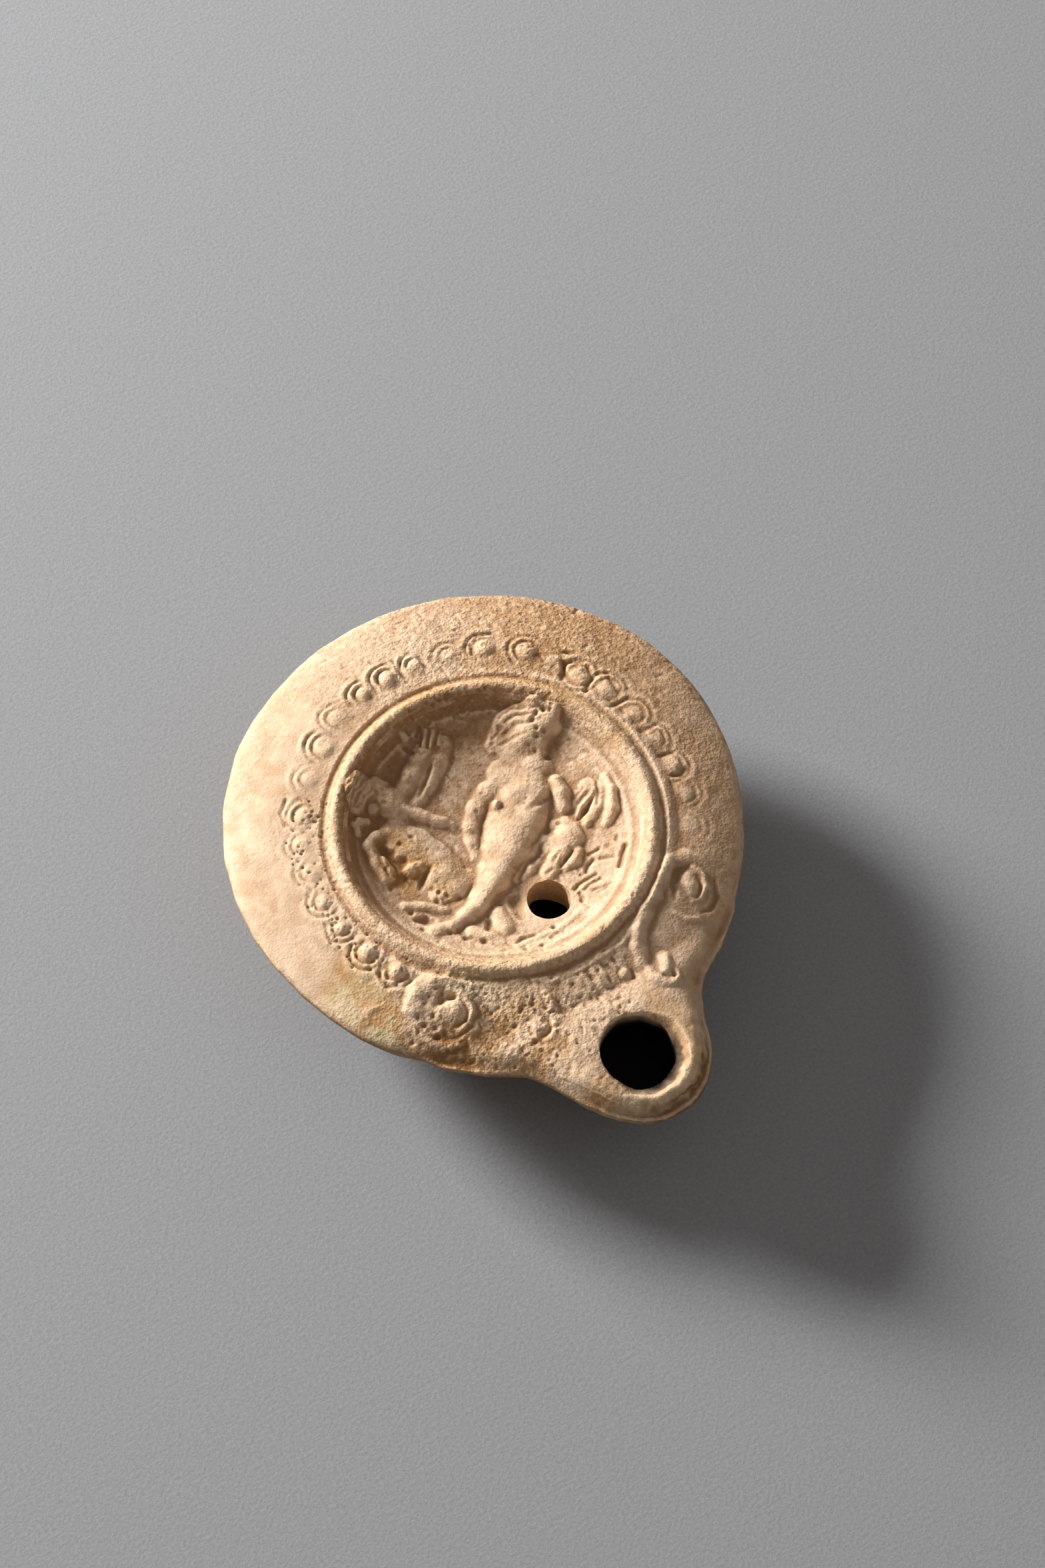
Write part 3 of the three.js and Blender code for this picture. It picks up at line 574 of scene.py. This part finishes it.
ridge((26.4, -25.2, 1.0, 0.15), (24.4, -23.2, 1.3, 0.4), (21.7, -23.0, 1.4, 0.6), (19.0, -24.8, 1.3, 0.65),
      (16.3, -26.9, 1.2, 0.6), (13.5, -28.7, 1.3, 0.6), (11.0, -30.8, 1.5, 0.65), (9.3, -33.2, 1.5, 0.65),
      (8.5, -35.8, 1.3, 0.55), (8.8, -38.4, 1.1, 0.45), (10.0, -40.4, 0.9, 0.4), (11.9, -41.4, 0.7, 0.3), blend=0.3)
pellet(22.4, -27.6, 1.7, 0.7)
ridge((22.6, -26.6, 1.2, 0.5), (21.9, -28.8, 1.2, 0.5), blend=0.3)
groove((23.6, -25.2, 0.7, 0.5), (21.3, -25.1, 0.8, 0.75), (19.8, -26.5, 0.7, 0.6), (18.6, -28.6, 0.6, 0.25))
ridge((24.2, -25.3, 0.6, 0.3), (25.1, -27.4, 0.7, 0.5), (24.4, -29.3, 0.7, 0.5), (22.7, -30.4, 0.6, 0.4), (21.1, -30.2, 0.5, 0.2), blend=0.15)
groove((23.9, -27.2, 0.4, 0.4), (23.4, -29.0, 0.4, 0.45), (22.0, -30.0, 0.4, 0.3))
groove((26.4, -28.6, 0.5, 0.2), (25.0, -31.2, 0.7, 0.45), (23.2, -32.5, 0.6, 0.45), (21.6, -32.4, 0.4, 0.2))
ridge((17.4, -30.8, 0.5, 0.12), (18.8, -32.8, 0.5, 0.25), (20.8, -33.4, 0.5, 0.2), blend=0.1)
ridge((11.9, -36.7, 1.3, 0.65), (11.4, -38.6, 1.1, 0.6), blend=0.2)
hoop(11.1, -39.6, 1.6, 0.45, 0.5, 190, 375)
groove((10.5, -39.4, 0.4, 0.5), (10.9, -40.2, 0.4, 0.5))
groove((12.0, -39.0, 0.35, 0.45), (11.7, -40.1, 0.35, 0.45))
# Lines between the disc's ring and the spout: a fine double line, upright tongues and a pellet.
groove((-9.0, -29.4, 0.35, 0.2), (-4.6, -30.5, 0.45, 0.35), (0.0, -30.9, 0.45, 0.4), (5.0, -30.4, 0.45, 0.35),
       (11.0, -28.2, 0.35, 0.2))
ridge((-6.6, -31.4, 0.4, 0.2), (0.0, -32.2, 0.45, 0.28), (7.4, -31.5, 0.45, 0.28), (12.4, -28.8, 0.4, 0.2), blend=0.15)
for x in (-2.2, -1.0, 0.8, 1.9):
    ridge((x, -33.2, 0.55, 0.22), (x + 0.2, -36.6, 0.5, 0.14), blend=0.1)
for x, y in ((-3.2, -33.6), (0.0, -33.8), (3.4, -33.4), (4.6, -33.0), (2.7, -33.2)):
    groove((x, y, 0.35, 0.4), (x + 0.2, y - 0.9, 0.3, 0.25))
pellet(5.2, -36.2, 1.1, 0.7)
groove((6.1, -37.1, 0.5, 0.35), (6.5, -36.1, 0.45, 0.35))
soften(3)
# Grains of temper and soil have fallen out all along the left of the ring and round the left volutes.
crumbs = np.random.default_rng(8)
for turn, reach, width, depth in crumbs.uniform((140, 26.8, 0.2, 0.08), (240, 33.6, 0.4, 0.32), (190, 4)):
    pit(reach * math.cos(math.radians(turn)), DISC_Y + reach * math.sin(math.radians(turn)), width, depth)
for x, y, width, depth in crumbs.uniform((-21.0, -44.0, 0.22, 0.06), (-4.0, -31.0, 0.38, 0.28), (90, 4)):
    pit(x, y, width, depth)

# Wear, grit and burial: the surface is eroded in soft patches, gritty where the slip has gone, and
# pitted where grains of temper fell out.
tx, ty = top_points[:, 0], top_points[:, 1]
in_disc = np.clip((21.5 - np.hypot(tx, ty - DISC_Y)) / 1.5, 0, 1)
shoulder_turn = np.degrees(np.arctan2(ty, tx)) % 360
coarse = np.interp(shoulder_turn, (0, 20, 45, 85, 110, 130, 200, 215, 250, 270, 290, 330, 360),
                   (0.5, 0.7, 0.9, 0.8, 0.4, 0.15, 0.12, 0.5, 1.0, 0.5, 0.2, 0.25, 0.5))
coarse = np.where(in_disc > 0.5, 0.5, coarse)
ring_reach = np.hypot(tx, ty - DISC_Y)
left_belt = (np.clip(1 - np.abs(ring_reach - 30.0) / 4.5, 0, 1)
             * np.interp(shoulder_turn, (150, 175, 215, 240, 250), (0, 0.6, 1.3, 1.0, 0)))
coarse = np.maximum(coarse, left_belt)
coarse = np.maximum(coarse, 0.8 * np.clip(1.3 - np.abs(ring_reach - 26.2) / 2.0, 0, 1))
scroll_side = np.clip((-24 - ty) / 6, 0, 1) * np.clip((10 - tx) / 8, 0, 1) * np.clip((ty + 46) / 4, 0, 1)
coarse = np.maximum(coarse, 1.1 * scroll_side)
shoulder_wear = np.clip(0.9 + 0.5 * grit(top_points, 3.4, 11) + 0.35 * grit(top_points, 1.5, 12), 0.3, 1.25)
rise = picture_rise + rise * shoulder_wear
crust = (np.clip(1 - np.hypot((tx + 15.6) / 5.0, (ty + 0.2) / 5.5), 0, 1) + 0.7 * np.clip(1 - np.hypot((tx + 12) / 4.0, (ty + 7.6) / 2.6), 0, 1)
         + 0.8 * np.clip(1 - np.hypot((tx + 29) / 5.5, (ty + 27.5) / 4.0), 0, 1))
coarse = np.maximum(coarse, 2.2 * crust)
# On the right the groove round the disc's ring is half filled with hard soil.
rise += 0.75 * np.clip(1.2 - np.abs(ring_reach - 28.0) / 1.5, 0, 1) * np.interp(shoulder_turn, (0, 30, 70, 280, 315, 360), (1, 0.8, 0.2, 0, 0.6, 1))
rise += 0.14 * grit(top_points, 5.0, 3) + 0.06 * grit(top_points, 2.2, 4)
rise += coarse * (0.09 * grit(top_points, 1.1, 5) + 0.08 * grit(top_points, 0.6, 6))
rise -= coarse * 0.4 * np.clip(grit(top_points, 0.8, 7) - 0.4, 0, 1)
# The wick hole's edge is chipped to a slanting bevel towards the spout's end.
from_wick = np.hypot(tx - 0.2, ty + 48.3) + 0.25 * grit(top_points, 1.6, 14) + 0.08 * grit(top_points, 0.6, 15)
wick_turn = np.degrees(np.arctan2(ty + 48.3, tx - 0.2))
chipped = np.interp(wick_turn, (-180, -150, -125, -70, -30, 10, 45, 90, 180), (0.05, 0.2, 0.75, 1.0, 1.0, 0.75, 0.2, 0.05, 0.05))
rise -= 2.0 * np.clip((6.2 + 2.2 * chipped - from_wick) / 2.2, 0, 1)
grip = np.clip((facing[on_top, 2] - 0.25) / 0.35, 0, 1)
points[on_top, 2] += rise * grip
sides = np.flatnonzero((facing[:, 2] <= 0.6) & (pz > 1.0))
lumps = 0.12 * grit(points[sides], 4.0, 8) + 0.05 * grit(points[sides], 1.2, 9)
points[sides] += facing[sides] * lumps[:, None]
body.data.vertices.foreach_set("co", (points * MM).ravel())
body.data.update()

# The hollow and the two holes. The wall is about 3 mm thick all round. The wick hole was cut in the
# spout, and the filling hole was punched through the disc from above, which pushed a ragged collar
# of clay down inside.
hollow_rings = [(10.0, 3.0, 0.0), (19.0, 3.0, 0.0)] + bow((19, 3.0), (29, 6.2), (36.6, 12.4), (39.4, 19.0), 10)
hollow_rings += [(38.2, 20.0, 0.0), (36.0, 20.9, 0.0), (29.0, 22.0, -1.6), (26.5, 21.8, DISC_Y), (24.0, 20.6, DISC_Y), (21.0, 20.0, DISC_Y),
                 (16.0, 18.7, DISC_Y), (12.0, 17.9, DISC_Y), (5.0, 17.4, DISC_Y)]
hollow = turn_up(hollow_rings, 96, "hollow")


def rod(x, y, low, high, radius, segments, name, steps=10):
    """An upright closed rod, its rings a little uneven, as a hand-held cutter makes a hole."""
    rings = [(radius, low + (high - low) * k / steps, y) for k in range(steps + 1)]
    tool = turn_up(rings, segments, name)
    spots = np.array([v.co for v in tool.data.vertices], float) / MM
    out = spots - np.array((0, y, 0))
    out[:, 2] = 0
    length = np.maximum(np.linalg.norm(out, axis=1, keepdims=True), 1e-6)
    spots += out / length * (0.22 * grit(spots * np.array((1, 1, 0.7)), 2.6, 21) + 0.1 * grit(spots, 1.0, 22))[:, None]
    spots[:, 0] += x
    tool.data.vertices.foreach_set("co", (spots * MM).ravel())
    tool.data.update()
    return tool


def carve(piece, tool, how="DIFFERENCE"):
    """Takes tool out of piece, or joins them, and removes the tool."""
    cut = piece.modifiers.new("carving", "BOOLEAN")
    cut.operation = how
    cut.solver = "MANIFOLD"
    cut.object = tool
    bpy.ops.object.select_all(action="DESELECT")
    piece.select_set(True)
    bpy.context.view_layer.objects.active = piece
    bpy.ops.object.modifier_apply(modifier=cut.name)
    bpy.data.objects.remove(tool)


passage = rod(0, -40.0, 12.6, 20.6, 8.2, 48, "passage", 6)
stretched = np.array([v.co for v in passage.data.vertices], float) / MM
stretched[:, 1] = -38.0 + (stretched[:, 1] + 40.0) * 2.1
passage.data.vertices.foreach_set("co", (stretched * MM).ravel())
carve(hollow, passage, "UNION")
collar = rod(2.3, -17.6, 13.3, 22.0, 4.7, 48, "collar", 16)
ragged = np.array([v.co for v in collar.data.vertices], float) / MM
low_end = np.clip((17.5 - ragged[:, 2]) / 4, 0, 1)
ragged[:, 2] += low_end * (1.8 * grit(ragged * np.array((1, 1, 0)), 1.8, 31) + 0.6)
collar.data.vertices.foreach_set("co", (ragged * MM).ravel())
carve(hollow, collar)

thinning = body.modifiers.new("thinning", "DECIMATE")
body_triangles = sum(len(p.vertices) - 2 for p in body.data.polygons)
thinning.ratio = min(1.0, 175000 / body_triangles)
bpy.ops.object.select_all(action="DESELECT")
body.select_set(True)
bpy.context.view_layer.objects.active = body
bpy.ops.object.modifier_apply(modifier=thinning.name)
carve(body, hollow)
carve(body, rod(0.2, -48.3, 13.0, 30.0, 5.95, 96, "wick_cutter", 24))
punch = rod(2.1, -17.3, 10.0, 30.0, 3.5, 72, "filling_punch", 32)
punched = np.array([v.co for v in punch.data.vertices], float) / MM
punched[:, 1] = -17.3 + (punched[:, 1] + 17.3) * 1.1
punch.data.vertices.foreach_set("co", (punched * MM).ravel())
carve(body, punch)
bpy.ops.object.select_all(action="DESELECT")
body.select_set(True)
bpy.context.view_layer.objects.active = body
bpy.ops.object.shade_smooth_by_angle(angle=math.radians(55))
print("lamp triangles", sum(len(p.vertices) - 2 for p in body.data.polygons))

# What the surface looks like. Where a point lies below its surroundings it is made browner, and where it stands proud
# it is made paler. Green and ochre are stains where they lie on the real lamp; the brown, pale and soot masks also
# paint shade, shadow and highlights into the colour.
seat = np.array([v.co for v in body.data.vertices], float) / MM
outward = np.array([v.normal for v in body.data.vertices], float)
ends = np.array([e.vertices for e in body.data.edges])
links = np.bincount(ends.ravel(), minlength=len(seat)).astype(float)


def neighbours_mean(values):
    """Each point's mean over the points it is joined to."""
    total = np.stack([np.bincount(ends[:, 0], values[ends[:, 1], k], len(seat))
                      + np.bincount(ends[:, 1], values[ends[:, 0], k], len(seat)) for k in range(values.shape[1])], 1)
    return total / np.maximum(links, 1)[:, None]


softer = seat
depth_at = []
for passes in range(60):
    softer = 0.5 * softer + 0.5 * neighbours_mean(softer)
    if passes in (7, 59):
        depth_at.append(((softer - seat) * outward).sum(1))
hollow = 0.5 + depth_at[0] * 5.0 + np.clip(depth_at[1], 0, None) * 1.6


def splash(x, y, reach_x, reach_y, ragged):
    """A ragged stain round (x, y): 1 in its middle, 0 outside it."""
    off = np.hypot((seat[:, 0] - x) / reach_x, (seat[:, 1] - y) / reach_y) + ragged * grit(seat, 3.0, 41) + 0.5 * ragged * grit(seat, 1.1, 42)
    return np.clip((1.15 - off) / 0.5, 0, 1)


disc_reach = np.hypot(seat[:, 0], seat[:, 1] - DISC_Y)
upper = np.clip((outward[:, 2] - 0.1) / 0.3, 0, 1) * np.clip((seat[:, 2] - 19) / 1.5, 0, 1)
at_filling_hole = np.hypot(seat[:, 0] - 2.2, seat[:, 1] + 17.4) < 5.4
hollow -= 0.22 * np.clip(1.4 - np.abs(disc_reach - 21.8) / 2.2, 0, 1)
hollow = np.clip(0.5 + (hollow - 0.5) * (0.35 + 0.65 * upper), 0, 1)
disc_turn = np.degrees(np.arctan2(seat[:, 1] - DISC_Y, seat[:, 0])) % 360
ring_ochre = np.interp(disc_turn, (0, 30, 110, 150, 185, 215, 265, 310, 360), (0.4, 0.85, 0.8, 0.15, 0.3, 0.6, 0.5, 0.15, 0.4))
ochre = np.maximum.reduce([
    0.85 * splash(-15.0, 0.0, 5.0, 6.5, 0.35), 0.5 * splash(-10.5, -5.5, 4.5, 4.0, 0.35),
    np.clip(1.3 - np.abs(disc_reach - 26.0) / 2.0, 0, 1) * np.clip(ring_ochre + 0.5 * grit(seat, 4.0, 43), 0, 1),
    0.7 * np.clip(1.2 - np.abs(disc_reach - 24.7) / 0.8, 0, 1) * np.interp(disc_turn, (40, 80, 240, 280), (0, 1, 1, 0)),
    1.0 * splash(-33.2, -19.5, 5.2, 9.5, 0.35), 0.5 * splash(30, 26, 16, 14, 0.5), 0.8 * splash(-22, -34, 10, 4, 0.4), 0.7 * splash(-14, -41, 5, 3, 0.4),
    0.6 * splash(-7.5, -52.0, 4.5, 3.0, 0.4), 0.5 * splash(7.5, -49.0, 3.0, 8.0, 0.4)]) * upper
green = np.maximum.reduce([
    0.85 * splash(-36.0, -19.0, 2.4, 4.2, 0.9), 0.9 * splash(-33.8, -26.0, 2.2, 3.6, 0.9), 0.6 * splash(-31.2, -17.0, 2.6, 3.6, 0.9), 0.5 * splash(-7.0, -56.0, 5.0, 2.0, 0.5),
    0.4 * splash(-12.0, -25.0, 9.0, 3.0, 0.5)]) * upper
# Soot round the wick hole, partly real soot and partly painted shade down inside the hole.
soot_and_painted_shade = np.clip((24.6 - seat[:, 2]) / 3.0, 0, 1) * (np.hypot(seat[:, 0], seat[:, 1] + 48.6) < 7.2) * (seat[:, 2] > 13.0)
rim_reach = np.hypot(seat[:, 0], seat[:, 1])
in_bowl = ((seat[:, 2] > 2.7) & (rim_reach < np.interp(seat[:, 2], (3, 6, 12.4, 19, 21), (22, 30, 37.6, 40, 38)))
           & (seat[:, 2] < np.interp(disc_reach, (0, 12, 21, 30, 38), (18.4, 19.0, 21.0, 22.8, 21.0))))
from_wick_line = seat - np.stack([np.zeros(len(seat)), np.clip(seat[:, 1], -48.3, -28), np.full(len(seat), 17.0)], 1)
in_spout = ((from_wick_line * outward).sum(1) < 0) & (seat[:, 1] < -26) & (np.abs(seat[:, 0]) < 9.5) & (seat[:, 2] < 22) & (seat[:, 2] > 11)
# Painted shade: the whole inside of the bowl and of the wick passage is made near black.
soot_and_painted_shade = np.maximum(soot_and_painted_shade, np.where((in_bowl & ~(at_filling_hole & (seat[:, 2] > 12.4))) | in_spout, 1.0, 0.0))
# Painted shade on the spout's front, on its side away from the light.
soot_and_painted_shade = np.maximum(soot_and_painted_shade, 0.4 * np.clip((-51 - seat[:, 1]) / 4, 0, 1) * np.clip((0.8 - outward[:, 2]) / 0.4, 0, 1) * np.clip((seat[:, 0] + 8) / 6, 0, 1)
                  * np.clip((seat[:, 2] - 12) / 5, 0, 1))
rough = np.clip(np.interp(np.degrees(np.arctan2(seat[:, 1], seat[:, 0])) % 360,
                          (0, 20, 45, 85, 110, 130, 200, 215, 250, 270, 290, 330, 360),
                          (0.5, 0.65, 0.9, 0.8, 0.45, 0.2, 0.15, 0.5, 0.8, 0.5, 0.35, 0.45, 0.5)) + 0.2 * grit(seat, 6.0, 44), 0, 1)
rough = np.where(disc_reach < 23, 0.42, rough)
rough = np.where((disc_reach > 24) & (disc_reach < 28.5), np.maximum(rough, 0.6), rough)
rough *= 1 - 0.5 * np.clip((-44 - seat[:, 1]) / 4, 0, 1)
# Brown on the outer right shoulder: partly a real brown patina, partly painted shade where the shoulder turns from the
# light.
brown_stain_and_painted_shade = np.clip((rim_reach - 33.5) / 8, 0, 1) * np.interp(np.degrees(np.arctan2(seat[:, 1], seat[:, 0])) % 360,
                (0, 25, 55, 80, 100, 300, 330, 360), (0.5, 0.65, 0.6, 0.25, 0.0, 0.0, 0.25, 0.5))
brown_stain_and_painted_shade = np.maximum(brown_stain_and_painted_shade, 0.95 * splash(-29.5, -32.5, 8.5, 5.0, 0.4) * upper)
# Painted shadow of the ring, inside it on the side the light comes from.
brown_stain_and_painted_shade = np.maximum(brown_stain_and_painted_shade, 0.7 * np.clip((disc_reach - 15) / 4, 0, 1) * np.clip((26.3 - disc_reach) / 0.8, 0, 1)
                   * np.interp(disc_turn, (20, 60, 150, 195), (0, 1, 1, 0)))
# Painted shadow outside the ring, on its side away from the light.
brown_stain_and_painted_shade = np.maximum(brown_stain_and_painted_shade, 0.5 * np.clip((disc_reach - 28.2) / 1.5, 0, 1) * upper
                   * np.interp(disc_turn, (0, 40, 75, 285, 315, 360), (1, 0.8, 0, 0, 0.8, 1)))
brown_stain_and_painted_shade = np.maximum(brown_stain_and_painted_shade, 0.3 * splash(-9.0, -52.5, 4.0, 2.6, 0.4))
# Painted shade on the whole outer wall below the shoulder's edge.
brown_stain_and_painted_shade = np.maximum(brown_stain_and_painted_shade, 0.8 * np.clip((22.6 - seat[:, 2]) / 2, 0, 1) * np.clip((0.55 - outward[:, 2]) / 0.3, 0, 1))
# Painted shade on the spout's front, strongest on its side away from the light.
brown_stain_and_painted_shade = np.maximum(brown_stain_and_painted_shade, 0.9 * np.clip((-50 - seat[:, 1]) / 3, 0, 1) * np.clip((0.85 - outward[:, 2]) / 0.3, 0, 1) * np.clip((seat[:, 0] + 9) / 8, 0.2, 1))
brown_stain_and_painted_shade = np.clip(brown_stain_and_painted_shade + 0.2 * grit(seat, 3.5, 45) * (brown_stain_and_painted_shade > 0.05) * upper, 0, 1)
# Painted highlights: the outer shoulder on the side the light comes from, the ring's inner slope on the right where it
# faces the light, and the ring's crest where it is not ochre are made paler.
painted_highlight = np.clip((rim_reach - 27) / 9, 0, 1) * np.interp(np.degrees(np.arctan2(seat[:, 1], seat[:, 0])) % 360,
                (0, 110, 140, 165, 205, 230, 360), (0, 0, 0.5, 0.9, 0.7, 0, 0)) * upper
painted_highlight = np.maximum(painted_highlight, np.clip(1.3 - np.abs(disc_reach - 22.0) / 2.6, 0, 1) * np.interp(disc_turn, (0, 50, 80, 250, 285, 360), (1, 0.6, 0, 0, 1, 1)) * upper)
painted_highlight = np.maximum(painted_highlight, 0.9 * np.clip(1.4 - np.abs(disc_reach - 25.9), 0, 1) * (1 - ring_ochre) * upper)
painted_highlight = np.clip(0.6 * painted_highlight * (0.7 + 0.6 * grit(seat, 2.6, 46)), 0, 1)
in_punch = at_filling_hole & (seat[:, 2] < 20.8)
hollow = np.where(in_punch, 0.35, hollow)
brown_stain_and_painted_shade = np.where(in_punch, 0.25, brown_stain_and_painted_shade)
ochre = np.where(in_punch, 0.45, ochre)
for name, values in (("hollow", hollow), ("ochre", ochre), ("green", green), ("soot_and_painted_shade", soot_and_painted_shade), ("rough", rough), ("brown_stain_and_painted_shade", brown_stain_and_painted_shade), ("painted_highlight", painted_highlight)):
    layer = body.data.attributes.new(name, "FLOAT", "POINT")
    layer.data.foreach_set("value", values.astype(np.float32))

# Low-fired buff clay, pressed in a mould and unglazed: fully matt, a warm pale body colour that drifts
# to pink and ochre in the firing, with sand temper that shows as a fine rough grain.
clay = bpy.data.materials.new("fired_buff_clay")
clay.use_nodes = True
tree = clay.node_tree
clay_shader = tree.nodes["Principled BSDF"]
clay_shader.inputs["Roughness"].default_value = 0.82
clay_shader.inputs["Specular IOR Level"].default_value = 0.25
place = add_node(tree, "ShaderNodeTexCoord").outputs["Object"]


def colour_mixed_in(colour_socket, hex_colour, share_socket):
    """Mixes a colour in by a share and gives the mixed colour's socket."""
    return add_node(tree, "ShaderNodeMix", {"data_type": "RGBA", 7: linear(hex_colour)},
                    {0: share_socket, 6: colour_socket}).outputs[2]


def between(value_socket, low, high, to_low=0.0, to_high=1.0):
    """The value, stretched from low..high to to_low..to_high and kept inside it."""
    return add_node(tree, "ShaderNodeMapRange", {1: low, 2: high, 3: to_low, 4: to_high}, {0: value_socket}).outputs[0]


def times(a, b):
    return add_node(tree, "ShaderNodeMath", {"operation": "MULTIPLY"}, {0: a, 1: b}).outputs[0]


drift = add_node(tree, "ShaderNodeTexNoise", {"Scale": 75.0, "Detail": 5.0, "Roughness": 0.6}, {"Vector": place}).outputs["Fac"]
blotch = add_node(tree, "ShaderNodeTexNoise", {"Scale": 330.0, "Detail": 4.0, "Roughness": 0.6}, {"Vector": place}).outputs["Fac"]
speck = add_node(tree, "ShaderNodeTexNoise", {"Scale": 1900.0, "Detail": 3.0, "Roughness": 0.7}, {"Vector": place}).outputs["Fac"]
mask = {name: add_node(tree, "ShaderNodeAttribute", {"attribute_name": name}).outputs["Fac"]
        for name in ("hollow", "ochre", "green", "soot_and_painted_shade", "rough", "brown_stain_and_painted_shade", "painted_highlight")}
ground = add_node(tree, "ShaderNodeMix", {"data_type": "RGBA", 6: linear("BE9F81"), 7: linear("D3B89D")},
                  {0: between(drift, 0.35, 0.65)}).outputs[2]
ground = colour_mixed_in(ground, "E6C6A8", between(blotch, 0.5, 0.72, 0.0, 0.55))
ground = colour_mixed_in(ground, "B9915F", between(blotch, 0.48, 0.28, 0.0, 0.5))
ground = colour_mixed_in(ground, "B08042", times(mask["ochre"], between(blotch, 0.3, 0.58, 0.55, 1.0)))
ground = colour_mixed_in(ground, "C2B58C", times(mask["green"], between(blotch, 0.4, 0.5, 0.4, 1.0)))
# Brown stains and painted shade.
ground = colour_mixed_in(ground, "8E6338", times(mask["brown_stain_and_painted_shade"], between(blotch, 0.25, 0.55, 0.55, 1.0)))
# Painted highlights.
ground = colour_mixed_in(ground, "ECCDB1", times(mask["painted_highlight"], between(blotch, 0.42, 0.56, 0.25, 1.0)))
ground = colour_mixed_in(ground, "8A6038", between(mask["hollow"], 0.6, 1.0, 0.0, 0.6))
ground = colour_mixed_in(ground, "EBCFAE", between(mask["hollow"], 0.46, 0.1, 0.0, 0.55))
ground = colour_mixed_in(ground, "8A6743", times(mask["rough"], between(speck, 0.5, 0.34, 0.0, 0.5)))
ground = colour_mixed_in(ground, "F0D9BC", times(mask["rough"], between(speck, 0.56, 0.7, 0.0, 0.3)))
# Soot and painted shade, near black.
ground = colour_mixed_in(ground, "0C0805", mask["soot_and_painted_shade"])
tree.links.new(ground, clay_shader.inputs["Base Color"])
sand = add_node(tree, "ShaderNodeTexVoronoi", {"Scale": 1300.0, "Detail": 1.0, "Roughness": 0.7}, {"Vector": place}).outputs["Distance"]
fine = add_node(tree, "ShaderNodeTexNoise", {"Scale": 2600.0, "Detail": 3.0, "Roughness": 0.65}, {"Vector": place}).outputs["Fac"]
sand_bump = add_node(tree, "ShaderNodeBump", {"Strength": 0.9, "Distance": 0.00020}, {"Height": times(sand, mask["rough"])})
fine_bump = add_node(tree, "ShaderNodeBump", {"Strength": 0.75, "Distance": 0.00013},
                     {"Height": fine, "Normal": sand_bump.outputs["Normal"]})
tree.links.new(fine_bump.outputs["Normal"], clay_shader.inputs["Normal"])
body.data.materials.clear()
body.data.materials.append(clay)
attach(body, "root")
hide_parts("lamp")
